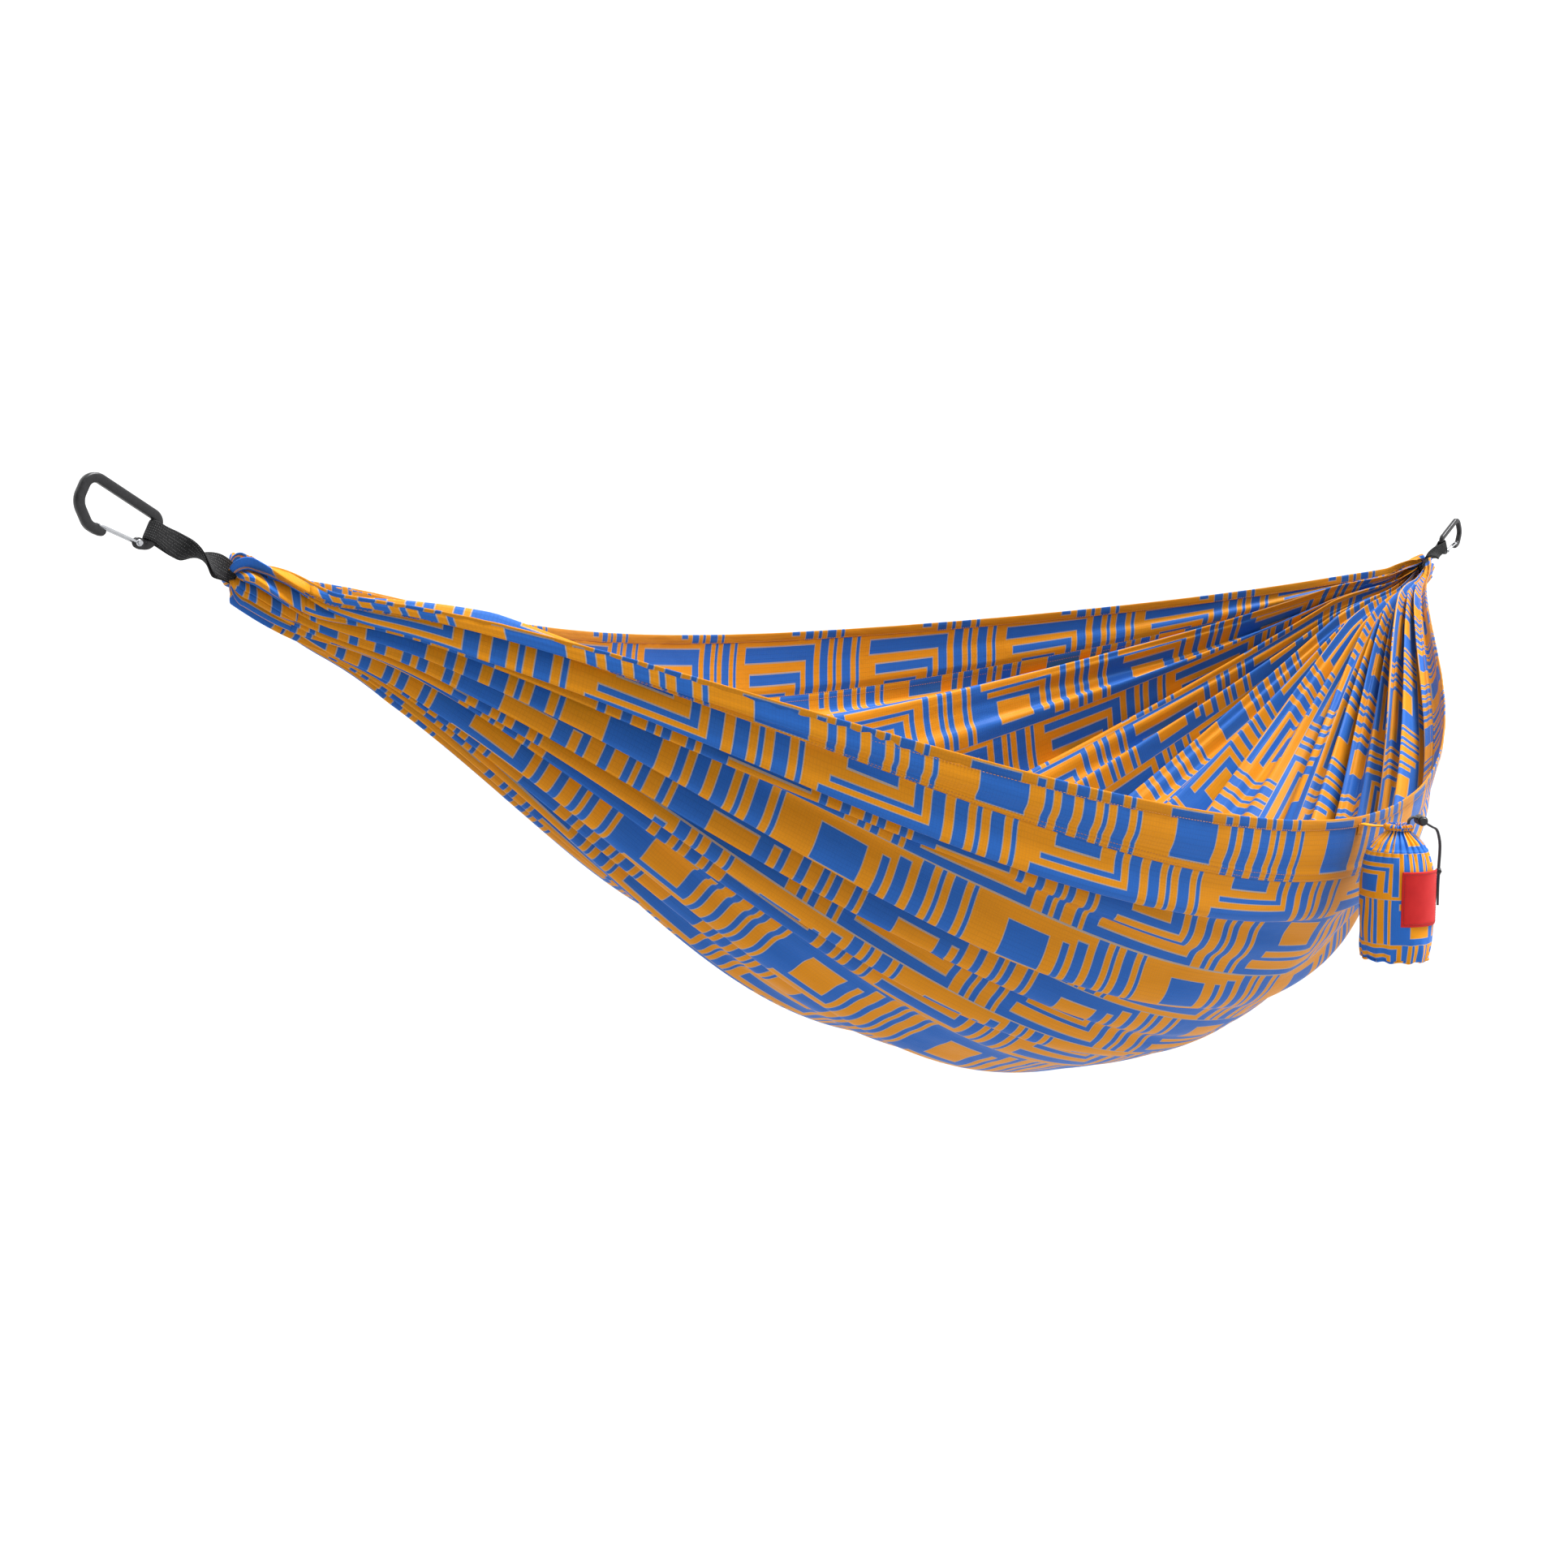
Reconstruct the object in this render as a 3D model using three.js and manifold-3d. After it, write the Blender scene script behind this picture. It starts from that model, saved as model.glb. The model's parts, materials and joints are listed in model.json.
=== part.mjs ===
// A gathered-end camping hammock, hung between two carabiners, with its stuff sack sewn to one rim.
// Millimetres, +Z up, +X from the left hang point to the right one, -Y towards the rim with the sack.
// The origin is the flat strap seat inside the left carabiner's bow.

import * as THREE from 'three';
import { mergeVertices } from 'three/addons/utils/BufferGeometryUtils.js';
import Module from 'manifold-3d';

const wasm = await Module();
wasm.setup();

// ---- Driving dimensions ----

// Suspension
const HANG_ANGLE = THREE.MathUtils.degToRad(27); // of each carabiner and webbing below the horizontal
const SEAT_TO_GATHER = 155; // along the suspension line, from the strap seat to the gathered cloth
const GATHER_SPAN = 2450; // between the two gathers

// Bed, at mid-length, measured from the level of the gathers
const RIM = { near: { y: -500, z: -295 }, far: { y: 475, z: -100 } };
const BED_DEPTH = 668;
const BELLY_TAPER = { nearY: -0.55, nearZ: -0.7, bottomY: -0.8, bottomZ: -0.68, farY: -0.75, farZ: -0.16 };
const GATHER_RADIUS = 19;
const CLOTH = 1.2;
const HEM = 3;
const HEM_SHARE = 0.009; // share of the bed's width that each rolled hem takes
const SEAM_SHARE = 0.06; // share of the bed's width that each side panel takes
const SEAM_GAP_SHARE = 0.0008;
const BED_ROWS = 36; // facets along the bed
const CHANNEL_LENGTH = 50;
const CHANNEL_SLOPE = 0.33; // fall of the gathered bundle towards the bed
const CHANNEL_TO_PANELS = 2;
const FIT_GAP = 0.3;

// Carabiner, in its own plane: s runs from the strap seat to the webbing, n towards the spine
const BODY_THICKNESS = 8;
const BODY_BEVEL = 1.8;
const BODY_HALF_WIDTH = 4.5;
const BAR = { s: 71, n: -2.25 }; // the narrow end, where the webbing sits
const GATE_PIN = { s: 60.5, n: -17.8 };
const GATE_LENGTH = 40;
const GATE_DROP = THREE.MathUtils.degToRad(4.6);
const GATE_WIRE = 1.2;
const GATE_LEG_OFFSET = 3.3;
const GATE_EYE = 3;
const PIN_RADIUS = 1.2;
const PIN_HOLE = 1.5;
const EAR_HALF_THICKNESS = 1.8;

// Webbing loop
const WEBBING_WIDTH = 18;
const WEBBING = 1.6;
const BIGHT_RADIUS = 6.3;
const BIGHT_LENGTH = 26;
const WEBBING_IN_CHANNEL = 22;

// Stuff sack, from the top of its mouth
const SACK_OUT = 548; // from the hammock's middle plane to the sack's axis
const SACK_RADIUS = 43;
const SACK_HEIGHT = 162;
const SACK_CLOTH = 1.6;
const MOUTH_RADIUS = 11.5;
const CASING_RADIUS = 4.2;
const CASING_TUNNEL = 1.9;
const LABEL = { width: 60, height: 65, top: 52, thick: 1.2, azimuth: THREE.MathUtils.degToRad(-107) };
const TAB = { width: 12, thick: 2, root: 501.5, drop: 8 };

// Drawcord and cord lock, in the vertical plane through the sack's axis at this azimuth
const CORD_AZIMUTH = THREE.MathUtils.degToRad(-50);
const CORD_RADIUS = 1.4;
const CORD_SPACING = 1.5; // of each strand from that plane
const CORD_SIDES = 8;
const LOCK_DIP = THREE.MathUtils.degToRad(30);
const LOCK_CENTRE = { r: 26.2, z: 3.6 };
const BARREL_RADIUS = 6;
const BARREL_ENDS = [-8, 12];
const PLUNGER_RADIUS = 4.6;
const PLUNGER_ENDS = [-13, 4.4];
const BUTTON_TRAVEL = 3.5;
const KNOT = { r: 48.6, z: -57, radius: 4.6, height: 11 };

const FABRIC = { color: 0xd98a1c, roughness: 0.6, metalness: 0 };
const FABRIC_DARK = { color: 0x2f62b8, roughness: 0.6, metalness: 0 };
const BLACK_WEBBING = { color: 0x17171a, roughness: 0.85, metalness: 0 };
const BLACK_ALLOY = { color: 0x26282b, roughness: 0.35, metalness: 0.8 };
const STEEL = { color: 0xc4c7cb, roughness: 0.2, metalness: 1 };
const BLACK_PLASTIC = { color: 0x111213, roughness: 0.4, metalness: 0 };
const RED_PATCH = { color: 0xc22a2a, roughness: 0.8, metalness: 0 };

// ---- Helpers ----

const part = (name, geometry, look) => {
  const mesh = new THREE.Mesh(geometry, new THREE.MeshStandardMaterial(look));
  mesh.name = name;
  return mesh;
};

const placed = (object, x, y, z) => {
  object.position.set(x, y, z);
  return object;
};

const toSolid = (geometry) => {
  const bare = geometry.clone();
  bare.deleteAttribute('normal');
  bare.deleteAttribute('uv');
  const merged = mergeVertices(bare, 1e-4);
  const vertProperties = new Float32Array(merged.attributes.position.array);
  const triVerts = new Uint32Array(merged.index.array);
  return new wasm.Manifold(new wasm.Mesh({ numProp: 3, vertProperties, triVerts }));
};

const toGeometry = (solid) => {
  const mesh = solid.getMesh();
  const geometry = new THREE.BufferGeometry();
  geometry.setAttribute('position', new THREE.BufferAttribute(mesh.vertProperties, 3));
  geometry.setIndex(new THREE.BufferAttribute(mesh.triVerts, 1));
  return geometry;
};

const cut = (geometry, ...tools) =>
  toGeometry(tools.reduce((solid, tool) => solid.subtract(toSolid(tool)), toSolid(geometry)));

const join = (geometry, ...others) =>
  toGeometry(others.reduce((solid, other) => solid.add(toSolid(other)), toSolid(geometry)));

// A body of revolution about its own Y axis, from [radius, height] pairs
const turned = (profile, segments) =>
  new THREE.LatheGeometry(profile.map(([r, h]) => new THREE.Vector2(r, h)), segments);

// The same about Z
const turnedUp = (profile, segments) => turned(profile, segments).rotateX(Math.PI / 2);

const box = (x, y, z) => new THREE.BoxGeometry(x, y, z);

const disc = (radius, sides) => {
  const shape = new THREE.Shape();
  for (let i = 0; i < sides; i += 1) {
    const a = (2 * Math.PI * i) / sides;
    shape[i ? 'lineTo' : 'moveTo'](radius * Math.cos(a), radius * Math.sin(a));
  }
  return shape;
};

const tube = (points, radius, sides, steps) =>
  new THREE.ExtrudeGeometry(disc(radius, sides), {
    extrudePath: new THREE.CatmullRomCurve3(points),
    steps,
    bevelEnabled: false,
  });

// A closed sheet of the given thickness about surface(i, j), for i up to rows and j up to columns
const sheet = (surface, thickness, rows, columns) => {
  const positions = [];
  const index = [];
  const at = (side, i, j) => (side * (rows + 1) + i) * (columns + 1) + j;
  for (const side of [0, 1]) {
    for (let i = 0; i <= rows; i += 1) {
      for (let j = 0; j <= columns; j += 1) {
        const along = surface(i + 0.1, j).sub(surface(i - 0.1, j));
        const across = surface(i, j + 0.1).sub(surface(i, j - 0.1));
        const normal = along.cross(across).normalize();
        const offset = (side ? -0.5 : 0.5) * thickness(j);
        positions.push(...surface(i, j).addScaledVector(normal, offset).toArray());
      }
    }
  }
  const quad = (a, b, c, d) => index.push(a, b, c, a, c, d);
  for (let i = 0; i < rows; i += 1) {
    for (let j = 0; j < columns; j += 1) {
      quad(at(0, i, j), at(0, i + 1, j), at(0, i + 1, j + 1), at(0, i, j + 1));
      quad(at(1, i, j), at(1, i, j + 1), at(1, i + 1, j + 1), at(1, i + 1, j));
    }
  }
  for (let i = 0; i < rows; i += 1) {
    quad(at(0, i, 0), at(1, i, 0), at(1, i + 1, 0), at(0, i + 1, 0));
    quad(at(0, i + 1, columns), at(1, i + 1, columns), at(1, i, columns), at(0, i, columns));
  }
  for (let j = 0; j < columns; j += 1) {
    quad(at(0, 0, j + 1), at(1, 0, j + 1), at(1, 0, j), at(0, 0, j));
    quad(at(0, rows, j), at(1, rows, j), at(1, rows, j + 1), at(0, rows, j + 1));
  }
  const geometry = new THREE.BufferGeometry();
  geometry.setAttribute('position', new THREE.Float32BufferAttribute(positions, 3));
  geometry.setIndex(index);
  return geometry;
};

// A line through corners [x, y, radius], each rounded by an arc
const filleted = (corners, arcSteps) => {
  const points = corners.map(([x, y]) => new THREE.Vector2(x, y));
  const line = [points[0]];
  for (let i = 1; i < points.length - 1; i += 1) {
    const radius = corners[i][2];
    const back = points[i - 1].clone().sub(points[i]).normalize();
    const ahead = points[i + 1].clone().sub(points[i]).normalize();
    const half = Math.acos(back.dot(ahead)) / 2;
    const inward = back.clone().add(ahead).normalize();
    const centre = inward.multiplyScalar(radius / Math.sin(half)).add(points[i]);
    const start = back.clone().multiplyScalar(radius / Math.tan(half)).add(points[i]).sub(centre);
    const turn = Math.sign(back.cross(ahead)) * -(Math.PI - 2 * half);
    for (let k = 0; k <= arcSteps; k += 1) {
      line.push(start.clone().rotateAround(new THREE.Vector2(), (turn * k) / arcSteps).add(centre));
    }
  }
  line.push(points[points.length - 1]);
  return line;
};

// The outline of a bar that follows a line, with round ends; halfWidth takes the share of the way along
const barOutline = (line, halfWidth, capSteps) => {
  const last = line.length - 1;
  const normal = (i) => {
    const along = line[Math.min(i + 1, last)].clone().sub(line[Math.max(i - 1, 0)]).normalize();
    return new THREE.Vector2(-along.y, along.x);
  };
  const cap = (i, from) => {
    const spoke = normal(i).multiplyScalar(from * halfWidth(i / last));
    const turns = Array.from({ length: capSteps - 1 }, (_, k) => (-Math.PI * (k + 1)) / capSteps);
    return turns.map((a) => spoke.clone().rotateAround(new THREE.Vector2(), a).add(line[i]));
  };
  const side = (sign) => line.map((p, i) => normal(i).multiplyScalar(sign * halfWidth(i / last)).add(p));
  return [...side(1), ...cap(last, 1), ...side(-1).reverse(), ...cap(0, -1)];
};

// ---- Bed ----

const lerpThree = (near, middle, far, v) =>
  near * 2 * (v - 0.5) * (v - 1) + middle * -4 * v * (v - 1) + far * 2 * v * (v - 0.5);

// The bed's cloth: t runs from -1 to 1 between the gathers, v from 0 at the near rim to 1 at the far rim
const bedPoint = (t, v) => {
  const nearAngle = Math.atan2(RIM.near.z, RIM.near.y);
  const farAngle = Math.atan2(RIM.far.z, RIM.far.y);
  const angle = lerpThree(nearAngle, -Math.PI / 2, farAngle, v);
  const nearReach = Math.hypot(RIM.near.y, RIM.near.z);
  const farReach = Math.hypot(RIM.far.y, RIM.far.z);
  const reach = lerpThree(nearReach, BED_DEPTH, farReach, v);
  const taperY = lerpThree(BELLY_TAPER.nearY, BELLY_TAPER.bottomY, BELLY_TAPER.farY, v);
  const taperZ = lerpThree(BELLY_TAPER.nearZ, BELLY_TAPER.bottomZ, BELLY_TAPER.farZ, v);
  const open = 1 - t * t;
  const gatherAngle = THREE.MathUtils.degToRad(THREE.MathUtils.lerp(-165, 35, v));
  const gather = GATHER_RADIUS * t ** 4;
  return new THREE.Vector3(
    (t * GATHER_SPAN) / 2,
    reach * Math.cos(angle) * open * (1 + taperY * t * t) + gather * Math.cos(gatherAngle),
    reach * Math.sin(angle) * open * (1 + taperZ * t * t) + gather * Math.sin(gatherAngle),
  );
};

const bedPanel = (shares, thickness, rows) => {
  const reach = 1 - (2 * (CHANNEL_LENGTH + CHANNEL_TO_PANELS)) / GATHER_SPAN;
  const share = (j) => {
    const k = THREE.MathUtils.clamp(Math.floor(j), 0, shares.length - 2);
    return THREE.MathUtils.lerp(shares[k], shares[k + 1], j - k);
  };
  // closer steps towards the gathers, where the cloth turns most
  const closing = 0.46 * Math.PI;
  const along = (i) => (reach * Math.sin(closing * ((2 * i) / rows - 1))) / Math.sin(closing);
  const surface = (i, j) => bedPoint(along(i), share(j));
  return sheet(surface, thickness, rows, shares.length - 1);
};

const evenShares = (from, to, count) =>
  Array.from({ length: count + 1 }, (_, k) => THREE.MathUtils.lerp(from, to, k / count));

const makeBed = () => {
  const group = new THREE.Group();
  const inner = SEAM_SHARE + SEAM_GAP_SHARE;
  const main = bedPanel(evenShares(inner, 1 - inner, 12), () => CLOTH, BED_ROWS);
  const sideShares = [0, HEM_SHARE, HEM_SHARE * 1.3, SEAM_SHARE];
  const near = bedPanel(sideShares, (j) => (j < 2 ? HEM : CLOTH), BED_ROWS);
  const farShares = sideShares.map((v) => 1 - v).reverse();
  const far = bedPanel(farShares, (j) => (j > 1 ? HEM : CLOTH), BED_ROWS);
  group.add(part('bed_main_panel', main, FABRIC));
  group.add(part('near_side_panel', near, FABRIC_DARK));
  group.add(part('far_side_panel', far, FABRIC_DARK));
  return group;
};

// ---- Suspension: one end, in the carabiner's own frame with X along s and Z along n ----

const inCarabinerPlane = (shape, settings) => {
  const geometry = new THREE.ExtrudeGeometry(shape, settings);
  return geometry.translate(0, 0, -settings.depth / 2).rotateX(Math.PI / 2);
};

const makeCarabinerBody = () => {
  const centreline = filleted(
    [
      [24.5, -24.5, 0],
      [13, -26, 7],
      [-BODY_HALF_WIDTH, -11.5, 12],
      [-BODY_HALF_WIDTH, 16, 9],
      [BAR.s, 11.5, 7],
      [BAR.s, -16, 7],
      [GATE_PIN.s, GATE_PIN.n, 0],
    ],
    7,
  );
  const halfWidth = (share) => (share < 0.97 ? BODY_HALF_WIDTH : BODY_HALF_WIDTH + 0.7) - BODY_BEVEL;
  const outline = new THREE.Shape(barOutline(centreline, halfWidth, 8));
  const blank = inCarabinerPlane(outline, {
    depth: BODY_THICKNESS - 2 * BODY_BEVEL,
    bevelEnabled: true,
    bevelThickness: BODY_BEVEL,
    bevelSize: BODY_BEVEL,
    bevelSegments: 2,
  });
  const earGap = BODY_THICKNESS;
  const earCuts = [1, -1].map((side) =>
    box(11, earGap, 14).translate(GATE_PIN.s - 1.5, side * (EAR_HALF_THICKNESS + earGap / 2), GATE_PIN.n));
  const drilled = (radius, at) =>
    turned([[0, -9], [radius, -9], [radius, 9], [0, 9]], 16).translate(at.x, 0, at.z);
  const pinHole = drilled(PIN_HOLE, gatePoint(0));
  const barSeat = gatePoint(GATE_LENGTH);
  const clearance = GATE_WIRE + FIT_GAP;
  const notch = drilled(clearance, barSeat);
  const step = box(14, 18, 6).translate(barSeat.x + 7, 0, barSeat.z + 3 - clearance);
  return cut(blank, ...earCuts, pinHole, notch, step);
};

// A point on the gate's middle line, at a distance from its pin
const gatePoint = (distance) => {
  const s = GATE_PIN.s - distance * Math.cos(GATE_DROP);
  const n = GATE_PIN.n - distance * Math.sin(GATE_DROP);
  return new THREE.Vector3(s, 0, n);
};

const makeGateWire = () => {
  const corner = GATE_WIRE + 1;
  const start = GATE_EYE - 0.7;
  const bend = filleted(
    [
      [-start, GATE_LEG_OFFSET, 0],
      [-GATE_LENGTH, GATE_LEG_OFFSET, corner],
      [-GATE_LENGTH, -GATE_LEG_OFFSET, corner],
      [-start, -GATE_LEG_OFFSET, 0],
    ],
    5,
  );
  const path = new THREE.CurvePath();
  for (let i = 0; i < bend.length - 1; i += 1) {
    const [a, b] = [bend[i], bend[i + 1]].map((p) => new THREE.Vector3(p.x, p.y, 0));
    path.add(new THREE.LineCurve3(a, b));
  }
  const settings = { extrudePath: path, steps: 40, bevelEnabled: false };
  const wire = new THREE.ExtrudeGeometry(disc(GATE_WIRE, 8), settings);
  const eye = [
    [PIN_HOLE, -GATE_WIRE],
    [GATE_EYE, -GATE_WIRE],
    [GATE_EYE, GATE_WIRE],
    [PIN_HOLE, GATE_WIRE],
    [PIN_HOLE, -GATE_WIRE],
  ];
  const eyes = [1, -1].map((side) => turned(eye, 16).translate(0, side * GATE_LEG_OFFSET, 0));
  return join(wire, ...eyes).rotateY(-GATE_DROP).translate(GATE_PIN.s, 0, GATE_PIN.n);
};

const makeGateRivet = () => {
  const shank = GATE_LEG_OFFSET + GATE_WIRE + FIT_GAP;
  const head = shank + 0.9;
  const profile = [
    [0, -head],
    [2.2, -head],
    [2.2, -shank],
    [PIN_RADIUS, -shank],
    [PIN_RADIUS, shank],
    [2.2, shank],
    [2.2, head],
    [0, head],
  ];
  return turned(profile, 16).translate(GATE_PIN.s, 0, GATE_PIN.n);
};

const makeWebbingLoop = () => {
  const outer = BIGHT_RADIUS + WEBBING;
  const meet = BAR.s + BIGHT_LENGTH;
  const end = SEAT_TO_GATHER + WEBBING_IN_CHANNEL;
  const shape = new THREE.Shape();
  shape.moveTo(end, -WEBBING);
  shape.lineTo(end, WEBBING);
  shape.lineTo(meet, WEBBING);
  shape.bezierCurveTo(meet - 10, WEBBING, BAR.s + 10, outer, BAR.s, outer);
  shape.absarc(BAR.s, 0, outer, Math.PI / 2, (3 * Math.PI) / 2, false);
  shape.bezierCurveTo(BAR.s + 10, -outer, meet - 10, -WEBBING, meet, -WEBBING);
  shape.closePath();
  const window = new THREE.Path();
  window.moveTo(meet - 4, 0);
  window.bezierCurveTo(meet - 13, 0.5, BAR.s + 10, BIGHT_RADIUS, BAR.s, BIGHT_RADIUS);
  window.absarc(BAR.s, 0, BIGHT_RADIUS, Math.PI / 2, (3 * Math.PI) / 2, false);
  window.bezierCurveTo(BAR.s + 10, -BIGHT_RADIUS, meet - 13, -0.5, meet - 4, 0);
  shape.holes.push(window);
  const settings = { depth: WEBBING_WIDTH, bevelEnabled: false, curveSegments: 8 };
  return new THREE.ExtrudeGeometry(shape, settings).translate(0, 0, BAR.n - WEBBING_WIDTH / 2);
};

const makeEndChannel = () => {
  const profile = [
    [0, 0],
    [19, 0],
    [25, 5],
    [27, 13],
    [26, 26],
    [27, 38],
    [30, CHANNEL_LENGTH],
    [0, CHANNEL_LENGTH],
  ];
  const fall = new THREE.Matrix4().makeShear(0, -CHANNEL_SLOPE, 0, 0, 0, 0);
  const bundle = turned(profile, 20).rotateZ(-Math.PI / 2).applyMatrix4(fall).rotateY(-HANG_ANGLE);
  bundle.translate(SEAT_TO_GATHER, 0, 0);
  const slot = box(2 * (WEBBING_IN_CHANNEL + FIT_GAP), 2 * (WEBBING + FIT_GAP), WEBBING_WIDTH + 2 * FIT_GAP);
  return cut(bundle, slot.translate(SEAT_TO_GATHER, 0, BAR.n));
};

const makeSuspension = (side) => {
  const group = new THREE.Group();
  group.add(part(`${side}_carabiner_body`, makeCarabinerBody(), BLACK_ALLOY));
  group.add(part(`${side}_gate_wire`, makeGateWire(), STEEL));
  group.add(part(`${side}_gate_rivet`, makeGateRivet(), STEEL));
  group.add(part(`${side}_webbing_loop`, makeWebbingLoop(), BLACK_WEBBING));
  group.add(part(`${side}_end_channel`, makeEndChannel(), FABRIC));
  group.rotation.y = HANG_ANGLE;
  return group;
};

// ---- Stuff sack: Z up from the top of its mouth, about its own axis ----

const makeSackBody = () => {
  const top = -2 * CASING_RADIUS - 0.8;
  const outside = [
    [MOUTH_RADIUS + 1.5, top],
    [19, top - 4],
    [28, top - 12],
    [36, top - 26],
    [41, top - 42],
    [SACK_RADIUS, top - 62],
    [SACK_RADIUS, -122],
    [42, -142],
    [39.5, -155],
    [38, -SACK_HEIGHT + 2],
  ];
  const inside = outside.map(([r, z]) => [r - SACK_CLOTH, z]).reverse();
  return turnedUp([...outside, ...inside, outside[0]].reverse(), 30);
};

const makeSackBase = () => {
  const top = -SACK_HEIGHT + 2 - FIT_GAP;
  const profile = [
    [0, -SACK_HEIGHT],
    [37, -SACK_HEIGHT],
    [38.4, top - 0.8],
    [37.6, top],
    [0, top],
  ];
  return turnedUp(profile, 30);
};

const ring = (radius, section, sides, segments) => {
  const profile = Array.from({ length: sides + 1 }, (_, k) => {
    const a = (2 * Math.PI * k) / sides;
    return [radius + section * Math.cos(a), section * Math.sin(a)];
  });
  return turnedUp(profile, segments).translate(0, 0, -CASING_RADIUS - 0.4);
};

const makeCasing = () => {
  const exits = [1, -1].map((side) => {
    const bore = CORD_RADIUS + FIT_GAP;
    const hole = turnedUp([[0, -4], [bore, -4], [bore, 8], [0, 8]], 10);
    return hole.translate(MOUTH_RADIUS, side * CORD_SPACING, -1);
  });
  const tunnel = ring(MOUTH_RADIUS, CASING_TUNNEL, 8, 24);
  return cut(ring(MOUTH_RADIUS, CASING_RADIUS, 10, 24), tunnel, ...exits);
};

const makeLabel = () => {
  const radius = SACK_RADIUS + FIT_GAP + LABEL.thick / 2;
  const halfAngle = LABEL.width / radius / 2;
  const surface = (i, j) => {
    const a = LABEL.azimuth + halfAngle * (i / 5 - 1);
    const z = -LABEL.top - (LABEL.height * j) / 4;
    return new THREE.Vector3(radius * Math.cos(a), radius * Math.sin(a), z);
  };
  return sheet(surface, () => LABEL.thick, 10, 4);
};

const makeTab = () => {
  const reach = SACK_OUT - TAB.root;
  const casingSide = MOUTH_RADIUS + CASING_RADIUS + FIT_GAP;
  const length = reach - casingSide;
  const strip = box(TAB.width, length, TAB.thick);
  return strip.translate(0, casingSide + length / 2, -CASING_RADIUS - 0.4);
};

// A point in the drawcord's plane, r from the sack's axis, out of the plane by the given offset
const cordPoint = (r, z, offset) => new THREE.Vector3(r, offset, z);

const strandPoints = (side) => {
  const loop = 2.2 * 2 * CORD_RADIUS;
  const start = { r: MOUTH_RADIUS, z: -1.6 };
  const centre = { r: start.r + loop, z: start.z + 3 };
  const points = [cordPoint(start.r, start.z, side * CORD_SPACING)];
  const turn = Math.PI / 2 + LOCK_DIP;
  for (let k = 0; k <= 6; k += 1) {
    const a = Math.PI - (turn * k) / 6;
    const [r, z] = [centre.r + loop * Math.cos(a), centre.z + loop * Math.sin(a)];
    points.push(cordPoint(r, z, side * CORD_SPACING));
  }
  const [dr, dz] = [Math.cos(LOCK_DIP), -Math.sin(LOCK_DIP)];
  for (const out of [0, 8, 15, 21]) {
    points.push(cordPoint(LOCK_CENTRE.r + dr * out, LOCK_CENTRE.z + dz * out, side * CORD_SPACING));
  }
  points.push(cordPoint(47.2, -14, side * CORD_SPACING));
  points.push(cordPoint(KNOT.r + 0.4, -24, side * 1.55));
  points.push(cordPoint(KNOT.r + 0.6, -34, side * 1.6));
  points.push(cordPoint(KNOT.r + 0.3, -43, side * 1.55));
  points.push(cordPoint(KNOT.r, KNOT.z + KNOT.height / 2 + FIT_GAP, side * 1.5));
  return points;
};

const tailPoints = (side) => {
  const top = KNOT.z - KNOT.height / 2 - FIT_GAP;
  const drop = side > 0 ? 8 : 8.5;
  const spread = [1.5, 2, 3.2, 4.6, 6];
  return spread.map((offset, k) => cordPoint(KNOT.r - 0.35 * k, top - drop * k, side * offset));
};

const makeKnot = () => {
  const half = KNOT.height / 2;
  const waist = KNOT.radius * 0.7;
  const profile = [
    [0, -half],
    [waist, -half],
    [KNOT.radius, -half * 0.4],
    [KNOT.radius, half * 0.4],
    [waist, half],
    [0, half],
  ];
  return turnedUp(profile, 14).translate(KNOT.r, 0, KNOT.z);
};

// The cord lock's own frame has its barrel along Y and the cord's way along X
const makeBarrel = () => {
  const [front, back] = BARREL_ENDS;
  const shell = turned(
    [
      [0, front],
      [BARREL_RADIUS - 0.8, front],
      [BARREL_RADIUS, front + 0.8],
      [BARREL_RADIUS, back - 1.2],
      [BARREL_RADIUS - 1.2, back],
      [0, back],
    ],
    24,
  );
  const bore = PLUNGER_RADIUS + FIT_GAP;
  const cavity = turned([[0, front - 5], [bore, front - 5], [bore, back - 1.5], [0, back - 1.5]], 24);
  const cordWay = box(30, 2 * (CORD_SPACING + CORD_RADIUS + FIT_GAP), 2 * (CORD_RADIUS + FIT_GAP));
  return cut(shell, cavity, cordWay);
};

const makePlunger = () => {
  const [front, back] = PLUNGER_ENDS;
  const stem = turned(
    [
      [0, front],
      [PLUNGER_RADIUS - 0.9, front],
      [PLUNGER_RADIUS, front + 0.9],
      [PLUNGER_RADIUS, back],
      [0, back],
    ],
    24,
  );
  const half = CORD_SPACING + CORD_RADIUS + FIT_GAP;
  const length = 2 * half + BUTTON_TRAVEL;
  const cordWay = box(30, length, 2 * (CORD_RADIUS + FIT_GAP) + 0.4).translate(0, half - length / 2, 0);
  return cut(stem, cordWay);
};

const makeSpring = () => {
  const [coilRadius, wire, turns] = [3.4, 0.35, 4];
  const [start, end] = [PLUNGER_ENDS[1] + wire + FIT_GAP, BARREL_ENDS[1] - 1.5 - wire - FIT_GAP];
  const points = Array.from({ length: turns * 12 + 1 }, (_, k) => {
    const a = (2 * Math.PI * k) / 12;
    const y = THREE.MathUtils.lerp(start, end, k / (turns * 12));
    return new THREE.Vector3(coilRadius * Math.cos(a), y, coilRadius * Math.sin(a));
  });
  return tube(points, wire, 5, turns * 12);
};

const makeCordLock = () => {
  const group = new THREE.Group();
  group.add(part('cord_lock_barrel', makeBarrel(), BLACK_PLASTIC));
  group.add(part('cord_lock_plunger', makePlunger(), BLACK_PLASTIC));
  group.add(part('cord_lock_spring', makeSpring(), STEEL));
  group.rotation.y = LOCK_DIP;
  return placed(group, LOCK_CENTRE.r, 0, LOCK_CENTRE.z);
};

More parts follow.
